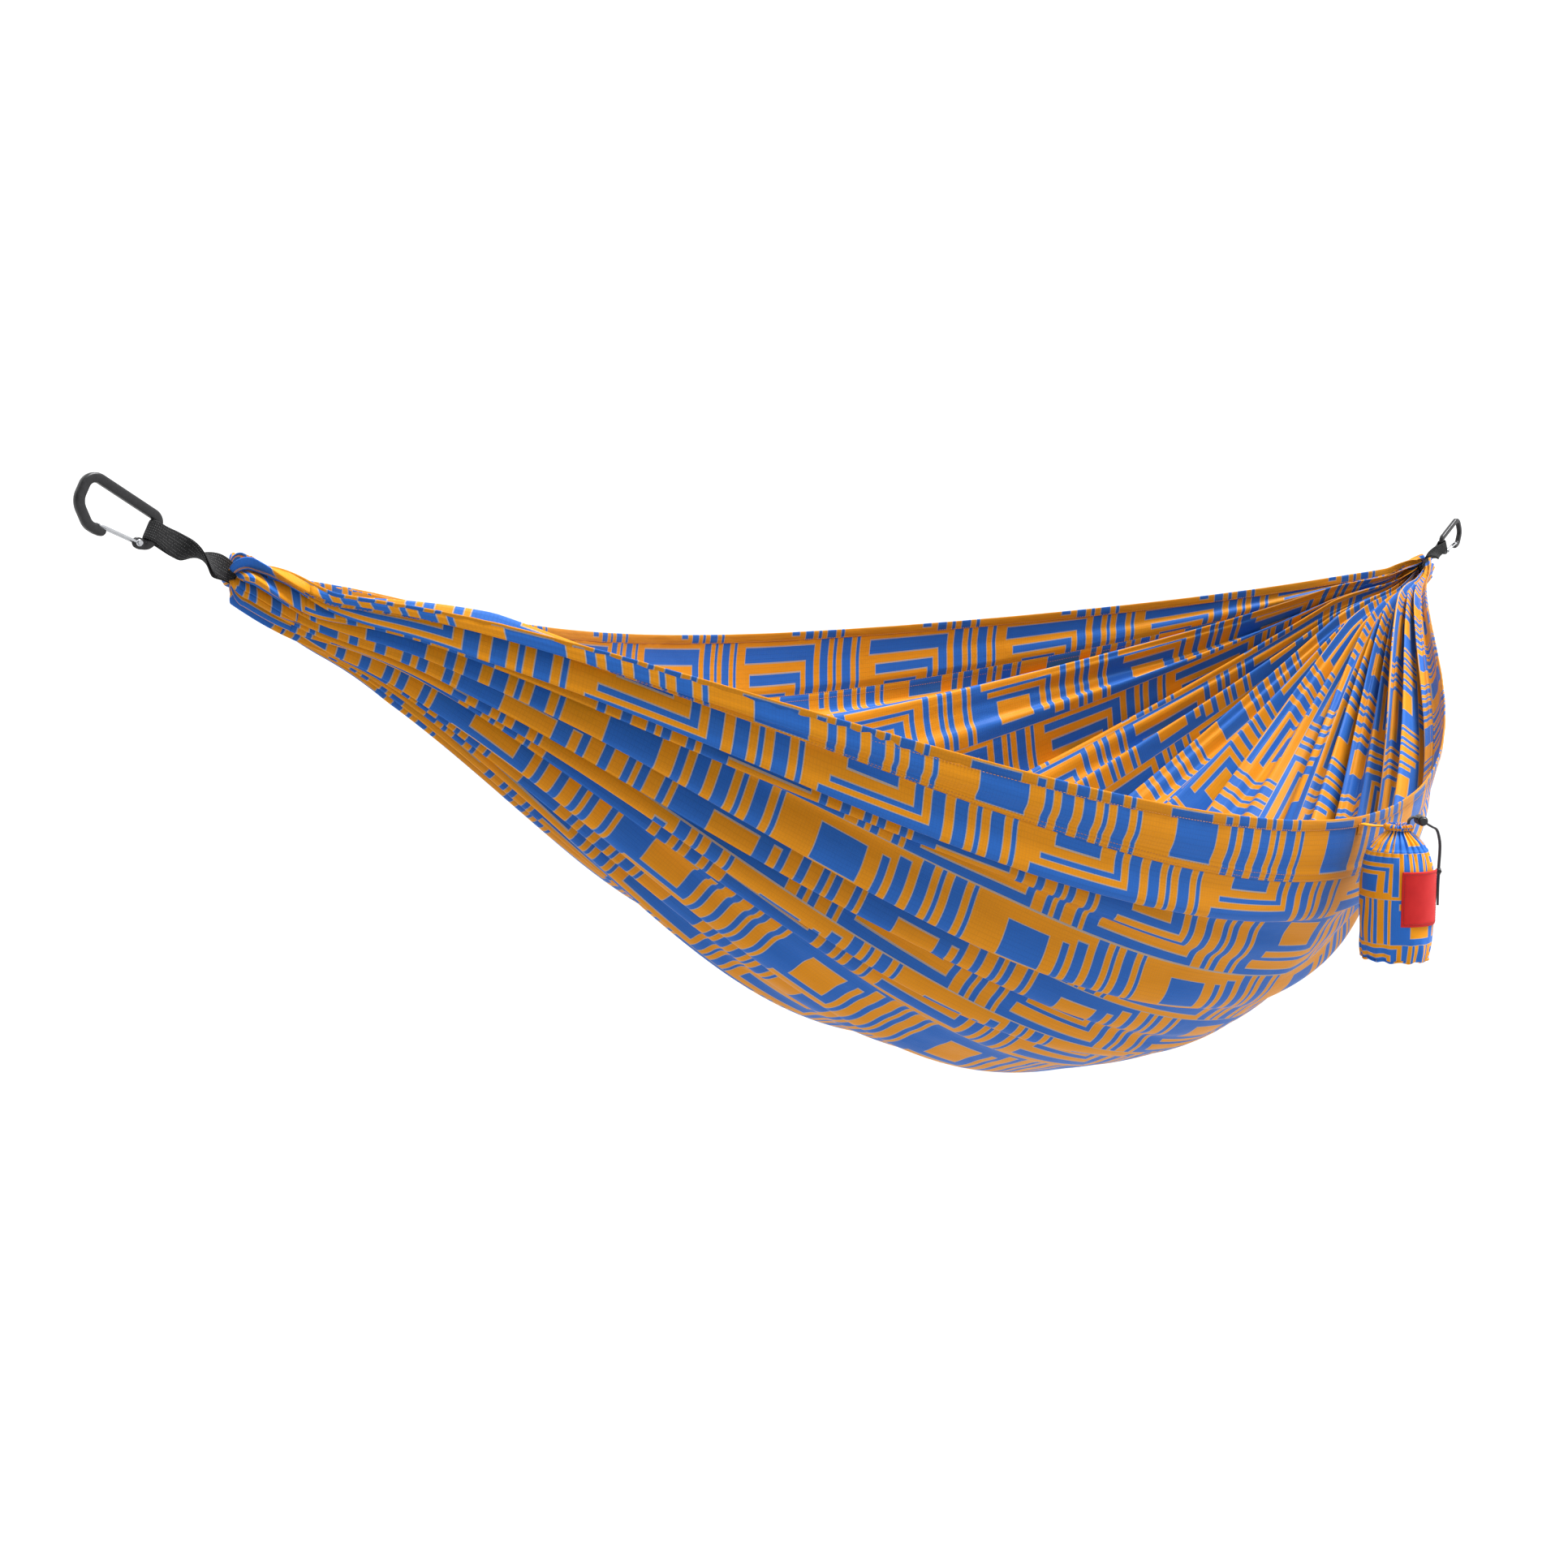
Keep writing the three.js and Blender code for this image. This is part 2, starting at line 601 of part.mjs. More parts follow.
const makeDrawcord = () => {
  const group = new THREE.Group();
  for (const [name, side] of [['a', 1], ['b', -1]]) {
    const strand = tube(strandPoints(side), CORD_RADIUS, CORD_SIDES, 26);
    const tail = tube(tailPoints(side), CORD_RADIUS, CORD_SIDES, 6);
    group.add(part(`drawcord_strand_${name}`, strand, BLACK_WEBBING));
    group.add(part(`drawcord_tail_${name}`, tail, BLACK_WEBBING));
  }
  group.add(part('drawcord_knot', makeKnot(), BLACK_WEBBING));
  group.add(part('sack_casing', makeCasing(), FABRIC));
  group.add(makeCordLock());
  group.rotation.z = CORD_AZIMUTH;
  return group;
};

const makeSack = () => {
  const group = new THREE.Group();
  group.add(part('sack_body', makeSackBody(), FABRIC));
  group.add(part('sack_base', makeSackBase(), FABRIC_DARK));
  group.add(part('sack_label', makeLabel(), RED_PATCH));
  group.add(part('sack_tab', makeTab(), FABRIC_DARK));
  group.add(makeDrawcord());
  return group;
};

// ---- Assembly ----

const hammock = new THREE.Group();
const gatherOut = SEAT_TO_GATHER * Math.cos(HANG_ANGLE);
const gatherDrop = SEAT_TO_GATHER * Math.sin(HANG_ANGLE);
const middle = gatherOut + GATHER_SPAN / 2;

hammock.add(makeSuspension('left'));
const rightEnd = new THREE.Group();
rightEnd.add(makeSuspension('right'));
rightEnd.rotation.z = Math.PI;
hammock.add(placed(rightEnd, 2 * middle, 0, 0));
hammock.add(placed(makeBed(), middle, 0, -gatherDrop));
const sackTop = -gatherDrop + RIM.near.z - TAB.drop + CASING_RADIUS + 0.4;
hammock.add(placed(makeSack(), middle, -SACK_OUT, sackTop));

export default hammock;
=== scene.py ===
import json
import math

import bpy
import numpy as np
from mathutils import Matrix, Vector


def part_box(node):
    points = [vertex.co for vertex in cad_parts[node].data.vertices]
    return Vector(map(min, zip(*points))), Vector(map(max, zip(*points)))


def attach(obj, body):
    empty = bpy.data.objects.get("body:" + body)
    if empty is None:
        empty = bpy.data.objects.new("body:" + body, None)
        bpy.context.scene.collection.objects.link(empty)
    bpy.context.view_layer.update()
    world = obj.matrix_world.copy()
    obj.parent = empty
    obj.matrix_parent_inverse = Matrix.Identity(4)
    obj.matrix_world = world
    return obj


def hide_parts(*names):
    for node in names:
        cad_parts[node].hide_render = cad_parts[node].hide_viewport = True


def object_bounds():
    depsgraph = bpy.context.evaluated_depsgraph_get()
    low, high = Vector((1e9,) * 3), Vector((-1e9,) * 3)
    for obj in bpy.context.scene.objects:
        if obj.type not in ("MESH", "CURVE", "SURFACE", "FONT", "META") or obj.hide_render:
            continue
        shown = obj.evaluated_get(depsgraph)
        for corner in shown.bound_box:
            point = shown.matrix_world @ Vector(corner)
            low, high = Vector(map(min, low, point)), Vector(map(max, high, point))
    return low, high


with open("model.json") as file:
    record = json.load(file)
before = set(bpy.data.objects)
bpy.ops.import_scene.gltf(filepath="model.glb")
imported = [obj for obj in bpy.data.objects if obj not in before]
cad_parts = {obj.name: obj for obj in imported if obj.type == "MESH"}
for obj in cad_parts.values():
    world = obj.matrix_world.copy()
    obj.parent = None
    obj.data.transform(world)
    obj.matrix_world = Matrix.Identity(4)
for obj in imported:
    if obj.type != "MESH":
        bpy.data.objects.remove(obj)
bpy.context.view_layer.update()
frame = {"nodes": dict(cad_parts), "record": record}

# The looks of a gathered-end camping hammock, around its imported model. Metres, in the part's own frame.
# +X runs from the left hang point to the right one, -Y towards the rim with the stuff sack, +Z is up.

# ---- Driving dimensions ----

MOUNTS = {mount["name"]: mount for mount in frame["record"]["mounts"]}
RIGHT_SEAT_X = MOUNTS["right_strap_seat"]["pos_m"][0]
MIDDLE_X = RIGHT_SEAT_X / 2

# Suspension, measured along its own line from the strap seat
HANG_ANGLE = math.radians(27)
SEAT_TO_GATHER = 0.155
BAR_S, BAR_N = 0.071, -0.00225
GATE_PIN = (0.0605, -0.0178)
GATE_LENGTH = 0.040
GATE_DROP = math.radians(4.6)
GATE_WIRE = 0.0012
GATE_LEG_OFFSET = 0.0033
GATE_EYE = 0.0023
BODY_HALF_WIDTH = 0.0045
BODY_HALF_THICKNESS = 0.004
EAR_HALF_THICKNESS = 0.0018
# The middle of the body's bar, from the nose round to the gate's pin, as (s, n, radius of the bend)
BODY_CORNERS = [
    (0.0245, -0.0245, 0), (0.013, -0.026, 0.011), (-BODY_HALF_WIDTH, -0.0115, 0.017),
    (-BODY_HALF_WIDTH, 0.016, 0.011), (BAR_S, 0.0115, 0.008), (BAR_S, -0.016, 0.007), (*GATE_PIN, 0),
]
BIGHT_RADIUS = 0.0068
WEBBING_HALF_THICKNESS = 0.00085
WEBBING_MEETS = BAR_S + 0.026
WEBBING_END = SEAT_TO_GATHER + 0.012

# Bed, in its own frame: centred between the gathers, at their level
GATHER_SPAN = 2.45
GATHER_DROP = SEAT_TO_GATHER * math.sin(HANG_ANGLE)
RIM_NEAR = (-0.500, -0.295)
RIM_FAR = (0.475, -0.100)
BED_DEPTH = 0.668
# How much sooner than a parabola the near rim, the bottom and the far rim close towards the gathers
TAPER_Y = (-0.55, -0.80, -0.75)
TAPER_Z = (-0.70, -0.68, -0.16)
GATHER_RADIUS = 0.019
FLAT_WIDTH, FLAT_LENGTH = 1.52, 2.90
SIDE_PANEL_SHARE = 0.06
HEM_WIDTH = 0.0137
CLOTH = 0.0006
PLEATS = 17
# Shares of the way from the middle to a gather: the end of the cloth, the start of the channel, the hem's end
BED_REACH, CHANNEL_FROM, HEM_REACH = 0.992, 0.955, 0.982
CHANNEL_SLOPE = 0.33
INWARD_SHARE = 0.6  # of a fold's depth: how far the folds as a whole stand inside the smooth bed
FOLD_DEPTH = (0.0078, 0.0313)  # at most, at a gather and at mid-length
NECK_FROM = 0.93
ROWS, SIDE_COLUMNS, MAIN_COLUMNS = 261, 24, 320
SEAM_LAP = 0.0011  # how far out a side panel's lapped edge lies
LAPPED_COLUMNS = 3
# Where the print starts on the side panels and on the hems
SIDE_PRINT = {"near": (0.11, 0.018), "far": (0.05, 0.018)}
HEM_PRINT = 0.085

# Stuff sack, from the top of its mouth
SACK_RADIUS = 0.043
MOUTH_RADIUS = 0.0115
CASING_RADIUS = 0.0042
CORD_AZIMUTH = math.radians(-50)
CORD_RADIUS = 0.0014
CORD_SPACING = 0.0015
LOCK_R, LOCK_Z, LOCK_DIP = 0.0262, 0.0036, math.radians(30)
KNOT_R = 0.0486
PRINT_SCALE_ON_SACK = 2.2
SACK_GATHERS = 24
SACK_CLOTH = 0.0007
# The sack's outline, as (depth below the mouth, radius)
SACK_OUTLINE = [(0.0092, 0.0125), (0.0135, 0.018), (0.0205, 0.0265), (0.032, 0.0345), (0.048, 0.0395),
                (0.070, 0.0425), (0.122, 0.0428), (0.142, 0.0418), (0.154, 0.0395), (0.1605, 0.0375)]
LABEL_AZIMUTH = math.radians(-107)
LABEL_WIDTH, LABEL_HEIGHT, LABEL_TOP = 0.060, 0.065, 0.052
LABEL_SEAM = 0.003

# Camera and studio
CAMERA_PLACE = (-0.892, -1.612, -0.057)
CAMERA_AZIMUTH, CAMERA_PITCH = math.radians(47.75), math.radians(6.34)
CAMERA_LENS = 46.58
BRIGHT_SIDE = (0.72, 0.34, 0.61)
SHADE, GLOW, HORIZON_GLOW = 0.34, 1.30, 0.96
SUN_POWER, SUN_ANGLE, SUN_TRAVEL = 6.0, math.radians(24), (-0.30, 0.30, -0.905)
FLOOR_SIZE, FLOOR_BELOW = 600, 1.5

X_WAY, Y_WAY, Z_WAY = np.eye(3)
rng = np.random.default_rng(12)


# ---- Small tools ----

def smoothstep(low, high, x):
    k = np.clip((np.asarray(x, float) - low) / (high - low), 0, 1)
    return k * k * (3 - 2 * k)


def unit(vectors):
    return vectors / np.maximum(np.linalg.norm(vectors, axis=-1, keepdims=True), 1e-12)


def angles(count):
    """Evenly spaced angles round a circle."""
    return np.linspace(0, math.tau, count, endpoint=False)


def along_lengths(points):
    """The distance along a polyline to each of its points."""
    steps = np.linalg.norm(np.diff(points, axis=0), axis=-1)
    return np.concatenate([np.zeros((1,) + steps.shape[1:]), np.cumsum(steps, axis=0)])


def add_object(name, data):
    item = bpy.data.objects.new(name, data)
    bpy.context.scene.collection.objects.link(item)
    return item


def mesh_piece(name, points, faces, uv=None, thickness=0.0, weld=False):
    """A smooth mesh object; uv holds one pair for each point."""
    mesh = bpy.data.meshes.new(name)
    mesh.from_pydata(np.asarray(points, float).reshape(-1, 3).tolist(), [], [tuple(f) for f in faces])
    if uv is not None:
        corners = np.empty(len(mesh.loops), int)
        mesh.loops.foreach_get("vertex_index", corners)
        layer = mesh.uv_layers.new(name="cloth")
        layer.data.foreach_set("uv", np.asarray(uv, float).reshape(-1, 2)[corners].ravel())
    mesh.polygons.foreach_set("use_smooth", np.ones(len(mesh.polygons), bool))
    piece = add_object(name, mesh)
    if weld:
        modifier = piece.modifiers.new("weld", "WELD")
        modifier.merge_threshold = 1e-6
    if thickness:
        modifier = piece.modifiers.new("thickness", "SOLIDIFY")
        modifier.thickness = thickness
        modifier.offset = 0
    return piece


def grid_faces(rows, columns, start=0):
    i, j = np.meshgrid(np.arange(rows - 1), np.arange(columns - 1), indexing="ij")
    a = (start + i * columns + j).ravel()
    return np.stack([a, a + 1, a + columns + 1, a + columns], -1).tolist()


def cloth_piece(name, grid, uv, thickness=CLOTH):
    rows, columns = grid.shape[:2]
    return mesh_piece(name, grid, grid_faces(rows, columns), uv, thickness)


def swept_piece(name, rings, closed_path=False, start_u=0.0):
    """A skin over rings of points, each ring closed; u runs along the path and v round the ring."""
    rings = np.asarray(rings, float)
    if closed_path:
        rings = np.concatenate([rings, rings[:1]])
    wrapped = np.concatenate([rings, rings[:, :1]], axis=1)
    count, around = wrapped.shape[:2]
    u = start_u + along_lengths(rings.mean(axis=1))
    v = along_lengths(wrapped[count // 2])
    uv = np.stack(np.broadcast_arrays(u[:, None], v[None, :]), -1)
    faces = grid_faces(count, around)
    if not closed_path:
        faces.append(list(range(around - 1))[::-1])
        faces.append([(count - 1) * around + k for k in range(around - 1)])
    return mesh_piece(name, wrapped, faces, uv, weld=True)


def circle(radius, sides):
    a = angles(sides)
    return np.stack([radius * np.cos(a), radius * np.sin(a)], -1)


def rounded_section(half_width, half_height, sides=24, power=0.5):
    """A rectangle with well rounded corners."""
    a = angles(sides)
    c, s = np.cos(a), np.sin(a)
    return np.stack([half_width * np.sign(c) * np.abs(c) ** power,
                     half_height * np.sign(s) * np.abs(s) ** power], -1)


def rings_along(path, across, up, sections):
    """Sections (one for all, or one for each point) set across a path."""
    path = np.asarray(path, float)
    across, up = (np.broadcast_to(way, path.shape) for way in (across, up))
    sections = np.broadcast_to(sections, (len(path),) + np.shape(sections)[-2:])
    return (path[:, None, :] + sections[..., 0:1] * across[:, None, :]
            + sections[..., 1:2] * up[:, None, :])


def place_on(line, s, at):
    """The points at the distances at along a polyline; s holds the distances of its own points."""
    return np.stack([np.interp(at, s, line[:, k]) for k in range(line.shape[1])], -1)


def spaced(line, count):
    """Evenly spaced points on a polyline, and their distances along it."""
    s = along_lengths(line)
    at = np.linspace(0, s[-1], count)
    return place_on(line, s, at), at


def smooth_path(points, count):
    """A Catmull-Rom curve through points, at evenly spaced places."""
    points = np.asarray(points, float)
    padded = np.concatenate([2 * points[:1] - points[1:2], points, 2 * points[-1:] - points[-2:-1]])
    fine = []
    for k in range(len(points) - 1):
        a, b, c, d = padded[k:k + 4]
        t = np.linspace(0, 1, 24, endpoint=False)[:, None]
        fine.append(0.5 * (2 * b + (c - a) * t + (2 * a - 5 * b + 4 * c - d) * t ** 2
                           + (3 * b - 3 * c + d - a) * t ** 3))
    fine = np.concatenate(fine + [points[-1:]])
    return spaced(fine, count)[0]


def finish_piece(piece, material, body, slot, *nodes):
    piece.data.materials.append(material)
    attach(piece, body)
    if nodes:
        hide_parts(*nodes)
    return piece


def stitches(name, rows, normals, length=0.0030, pitch=0.0044, radius=0.00032):
    """Short raised stitches along polylines, as one piece; normals point out of the cloth."""
    points, faces = [], []
    ring = 6
    bulge = np.array([0.35, 1.0, 1.0, 0.35]) * radius
    places = np.array([-0.5, -0.28, 0.28, 0.5]) * length
    a = angles(ring)
    for line, normal in zip(rows, normals):
        s = along_lengths(line)
        for at in np.arange(pitch / 2, s[-1] - pitch / 2, pitch):
            middle = place_on(line, s, at)
            tangent = unit(place_on(line, s, at + 0.001) - middle)
            out = place_on(normal, s, at)
            out = unit(out - tangent * np.dot(out, tangent))
            side = np.cross(tangent, out)
            start = len(points)
            for place, r in zip(places, bulge):
                centre = middle + tangent * place + out * (r * 0.4)
                points.extend(centre + r * (np.cos(k) * side + np.sin(k) * out) for k in a)
            for level in range(3):
                for k in range(ring):
                    p = start + level * ring + k
                    q = start + level * ring + (k + 1) % ring
                    faces.append((p, q, q + ring, p + ring))
            faces.append(tuple(start + k for k in range(ring))[::-1])
            faces.append(tuple(start + 3 * ring + k for k in range(ring)))
    return mesh_piece(name, np.array(points), faces)


# ---- Materials ----

class Nodes:
    """Short calls that add nodes to a tree."""

    def __init__(self, tree):
        self.tree = tree

    def add(self, kind, **values):
        node = self.tree.nodes.new(kind)
        for key, value in values.items():
            setattr(node, key, value)
        return node

    def link(self, source, target):
        if hasattr(source, "is_linked"):
            self.tree.links.new(source, target)
        else:
            target.default_value = source

    def math(self, operation, a, b=0.0, c=0.0):
        node = self.add("ShaderNodeMath", operation=operation)
        for socket, value in zip(node.inputs, (a, b, c)):
            self.link(value, socket)
        return node.outputs[0]

    def mix(self, factor, a, b, blend="MIX"):
        node = self.add("ShaderNodeMix", data_type="RGBA", blend_type=blend)
        self.link(factor, node.inputs["Factor"])
        self.link(a, node.inputs[6])
        self.link(b, node.inputs[7])
        return node.outputs[2]

    def noise(self, vector, scale, detail=3.0, stretch=(1.0, 1.0, 1.0)):
        mapping = self.add("ShaderNodeMapping")
        mapping.inputs["Scale"].default_value = stretch
        self.link(vector, mapping.inputs["Vector"])
        node = self.add("ShaderNodeTexNoise")
        node.inputs["Scale"].default_value = scale
        node.inputs["Detail"].default_value = detail
        self.link(mapping.outputs[0], node.inputs["Vector"])
        return node.outputs["Fac"]

    def spread(self, value, low, high, start=0.0, end=1.0, kind="LINEAR"):
        node = self.add("ShaderNodeMapRange", interpolation_type=kind)
        self.link(value, node.inputs["Value"])
        for key, number in (("From Min", start), ("From Max", end), ("To Min", low), ("To Max", high)):
            node.inputs[key].default_value = number
        return node.outputs[0]

    def bump(self, height, distance, strength=1.0, after=None):
        node = self.add("ShaderNodeBump")
        node.inputs["Distance"].default_value = distance
        node.inputs["Strength"].default_value = strength
        self.link(height, node.inputs["Height"])
        if after is not None:
            self.link(after, node.inputs["Normal"])
        return node.outputs[0]

    def texture(self, output):
        return self.add("ShaderNodeTexCoord").outputs[output]

    def split(self, vector):
        node = self.add("ShaderNodeSeparateXYZ")
        self.link(vector, node.inputs[0])
        return list(node.outputs)


class Material(Nodes):
    """A material with a Principled shader."""

    def __init__(self, name, roughness, metallic=0.0, sheen=0.0, specular=0.5):
        self.material = bpy.data.materials.new(name)
        self.material.use_nodes = True
        super().__init__(self.material.node_tree)
        self.shader = self.tree.nodes["Principled BSDF"]
        for key, value in (("Roughness", roughness), ("Metallic", metallic), ("Sheen Weight", sheen),
                           ("Specular IOR Level", specular)):
            self.shader.inputs[key].default_value = value

    def use(self, color, roughness=None, normal=None):
        for key, value in (("Base Color", color), ("Roughness", roughness), ("Normal", normal)):
            if value is not None:
                self.link(value, self.shader.inputs[key])
        return self.material


def srgb(red, green, blue):
    def linear(value):
        value /= 255
        return value / 12.92 if value <= 0.04045 else ((value + 0.055) / 1.055) ** 2.4
    return (linear(red), linear(green), linear(blue), 1.0)


ORANGE = srgb(208, 133, 18)
BLUE = srgb(38, 95, 176)
OUTLINE = srgb(164, 150, 138)
OUTLINE_HALF_WIDTH = 0.0007
CELL_WIDTH, ROW_HEIGHT = 0.262, 0.118
ODD_ROW_SHIFT = 0.42
RIPSTOP_PITCH = 0.0042
RIPSTOP_LINE = 0.16 * RIPSTOP_PITCH
# Rectangles in a cell as (low x, high x, low y, high y), and notches that turn two of them into angles
MOTIF = [
    ((0.010, 0.160, 0.008, 0.108), (-1.0, 0.143, -1.0, 0.092)),
    ((0.022, 0.133, 0.018, 0.082), (-1.0, 0.122, -1.0, 0.072)),
    ((0.040, 0.102, 0.018, 0.062), None),
]
STRIPES = [(0.172, 0.189), (0.199, 0.206), (0.217, 0.235), (0.245, 0.252)]


def print_colour(n, u, v):
    """Rows of squares and angles between upright stripes, in two colours with a thin pale outline."""
    row = n.math("FLOOR", n.math("DIVIDE", v, ROW_HEIGHT))
    odd = n.math("FLOORED_MODULO", row, 2.0)
    y = n.math("SUBTRACT", v, n.math("MULTIPLY", row, ROW_HEIGHT))
    shifted = n.math("ADD", u, n.math("MULTIPLY", odd, CELL_WIDTH * ODD_ROW_SHIFT))
    x = n.math("FLOORED_MODULO", shifted, CELL_WIDTH)

    def span(value, low, high):
        centred = n.math("ABSOLUTE", n.math("SUBTRACT", value, (low + high) / 2))
        return n.math("SUBTRACT", centred, (high - low) / 2)

    def rectangle(x0, x1, y0, y1):
        return n.math("MAXIMUM", span(x, x0, x1), span(y, y0, y1))

    fields = [span(x, low, high) for low, high in STRIPES]
    for outer, notch in MOTIF:
        field = rectangle(*outer)
        if notch:
            field = n.math("MAXIMUM", field, n.math("MULTIPLY", rectangle(*notch), -1.0))
        fields.append(field)
    # Each shape swaps the two colours inside it, and every other row starts with them swapped
    side = n.math("SUBTRACT", 1.0, n.math("MULTIPLY", odd, 2.0))
    nearest = n.math("MINIMUM", y, n.math("SUBTRACT", ROW_HEIGHT, y))
    for field in fields:
        side = n.math("MULTIPLY", side, n.math("SIGN", field))
        nearest = n.math("MINIMUM", nearest, n.math("ABSOLUTE", field))
    is_blue = n.math("GREATER_THAN", 0.0, side)
    near_edge = n.math("LESS_THAN", nearest, OUTLINE_HALF_WIDTH)
    return n.mix(near_edge, n.mix(is_blue, ORANGE, BLUE), OUTLINE)


def cloth_material(name, streak=(3.0, 9.0, 1.0), painted_light_level=1.0):
    """Printed ripstop nylon: the print, its ripstop grid, small creases, a soft sheen and painted light or
    shadow.
    """
    n = Material(name, 0.5, sheen=0.05, specular=0.10)
    n.shader.inputs["Sheen Roughness"].default_value = 0.4
    uv = n.texture("UV")
    u, v, _ = n.split(uv)
    # Random tone, times the painted light level: below 1 it paints shadow on the cloth, above 1 painted light
    fade = n.spread(n.noise(uv, 9.0), 0.92 * painted_light_level, 1.10 * painted_light_level)
    colour = n.mix(1.0, print_colour(n, u, v), fade, "MULTIPLY")
    lines = [n.math("LESS_THAN", n.math("FLOORED_MODULO", value, RIPSTOP_PITCH), RIPSTOP_LINE)
             for value in (u, v)]
    grid = n.math("MAXIMUM", *lines)
    colour = n.mix(n.math("MULTIPLY", grid, 0.10), colour, (0.2, 0.2, 0.2, 1.0), "MULTIPLY")
    creases = n.bump(n.noise(uv, 6.0, 1.5, streak), 0.0030, 0.35)
    crumple = n.bump(n.noise(uv, 40.0, 2.0), 0.0008, 0.35, creases)
    normal = n.bump(grid, 0.00018, 0.7, crumple)
    return n.use(colour, n.spread(n.noise(uv, 30.0), 0.42, 0.60), normal)


def webbing_material():
    """Black woven webbing: ribs across it, rows of picks along it and paler flecks on some raised picks."""
    n = Material("black_webbing", 0.8, sheen=0.03, specular=0.25)
    uv = n.texture("UV")
    u, v, _ = n.split(uv)
    along = n.math("SINE", n.math("MULTIPLY", u, math.tau / 0.0016))
    across = n.math("SINE", n.math("MULTIPLY", v, math.tau / 0.0022))
    weave = n.math("MULTIPLY", along, across)
    picks = n.math("MULTIPLY", n.math("GREATER_THAN", along, 0.35), n.math("GREATER_THAN", across, 0.72))
    flecks = n.math("MULTIPLY", picks, n.math("GREATER_THAN", n.noise(uv, 500.0, 1.0), 0.42))
    thread = n.mix(flecks, (0.006, 0.006, 0.007, 1.0), (0.12, 0.12, 0.12, 1.0))
    colour = n.mix(n.spread(weave, 0.0, 0.25), thread, (0.010, 0.010, 0.011, 1.0))
    return n.use(colour, n.spread(weave, 0.70, 0.92), n.bump(weave, 0.0004, 0.8))


def cord_material():
    """Braided black cord: two crossing sets of strands."""
    n = Material("black_cord", 0.75, sheen=0.3)
    place = n.texture("Object")
    wave = None
    for turn in (0.8, -0.8):
        mapping = n.add("ShaderNodeMapping")
        mapping.inputs["Rotation"].default_value = (turn, 0.0, turn)
        n.link(place, mapping.inputs["Vector"])
        bands = n.add("ShaderNodeTexWave")
        bands.inputs["Scale"].default_value = 260.0
        n.link(mapping.outputs[0], bands.inputs["Vector"])
        wave = bands.outputs["Fac"] if wave is None else n.math("MAXIMUM", wave, bands.outputs["Fac"])
    colour = n.mix(wave, (0.006, 0.006, 0.007, 1.0), (0.030, 0.030, 0.032, 1.0))
    return n.use(colour, n.spread(wave, 0.85, 0.6), n.bump(wave, 0.0003, 0.8))


def alloy_material():
    """Black anodised aluminium, satin, with faint handling marks."""
    n = Material("black_anodised", 0.34, 0.4)
    place = n.texture("Object")
    marks = n.noise(place, 420.0, 4.0)
    colour = n.mix(n.spread(marks, 0.0, 1.0), (0.012, 0.012, 0.013, 1.0), (0.028, 0.028, 0.030, 1.0))
    return n.use(colour, n.spread(marks, 0.26, 0.46), n.bump(marks, 0.00006, 0.4))


def steel_material():
    """Polished stainless wire with drawn lines."""
    n = Material("polished_steel", 0.2, 1.0)
    lines = n.noise(n.texture("Object"), 900.0, 2.0, (0.15, 1.0, 1.0))
    colour = n.mix(lines, (0.36, 0.37, 0.39, 1.0), (0.62, 0.63, 0.65, 1.0))
    return n.use(colour, n.spread(lines, 0.12, 0.30), n.bump(lines, 0.00003, 0.5))


def plastic_material():
    """Moulded black plastic with a fine spark texture."""
    n = Material("moulded_plastic", 0.42)
    grain = n.noise(n.texture("Object"), 2600.0, 2.0)
    colour = n.mix(grain, (0.008, 0.008, 0.009, 1.0), (0.022, 0.022, 0.024, 1.0))
    return n.use(colour, n.spread(grain, 0.32, 0.55), n.bump(grain, 0.00008, 0.5))


def twill_material():
    """Red twill: diagonal ribs and a little wear."""
    n = Material("red_twill", 0.8, sheen=0.04, specular=0.2)
    uv = n.texture("UV")
    u, v, _ = n.split(uv)
    rib = n.math("SINE", n.math("MULTIPLY", n.math("ADD", u, v), math.tau / 0.0011))
    base = n.mix(n.noise(uv, 60.0), srgb(196, 24, 28), srgb(232, 46, 44))
    colour = n.mix(n.spread(rib, 0.0, 0.35), base, srgb(150, 14, 20))
    return n.use(colour, n.spread(rib, 0.7, 0.9), n.bump(rib, 0.00025, 0.7))


def thread_material(name, low, high):
    n = Material(name, 0.6)
    twist = n.noise(n.texture("Object"), 1500.0, 1.0)
    return n.use(n.mix(twist, low, high), n.spread(twist, 0.5, 0.7), n.bump(twist, 0.0001, 0.6))


def floor_material():
    n = Material("pale_floor", 0.9)
    tone = n.noise(n.texture("Object"), 3.0, 2.0)
    return n.use(n.mix(tone, (0.38, 0.38, 0.38, 1.0), (0.40, 0.40, 0.40, 1.0)))


bed_cloth = cloth_material("printed_ripstop")
# Painted shadow: the hem's cloth is darkened to 0.80, as if the hem lay in shadow
hem_cloth = cloth_material("printed_ripstop_hem_painted_shadow", (4.0, 16.0, 1.0), 0.80)
# Painted light: the sack's cloth is brightened to 1.22, light that its side does not get from the key
sack_cloth = cloth_material("printed_ripstop_sack_painted_light", (8.0, 4.0, 1.0), 1.22)
webbing_look = webbing_material()
cord_look = cord_material()
alloy_look = alloy_material()
steel_look = steel_material()
plastic_look = plastic_material()
twill_look = twill_material()
tan_thread = thread_material("tan_thread", srgb(170, 108, 34), srgb(200, 130, 44))
red_thread = thread_material("red_thread", srgb(120, 10, 16), srgb(160, 24, 28))


# ---- Camera ----

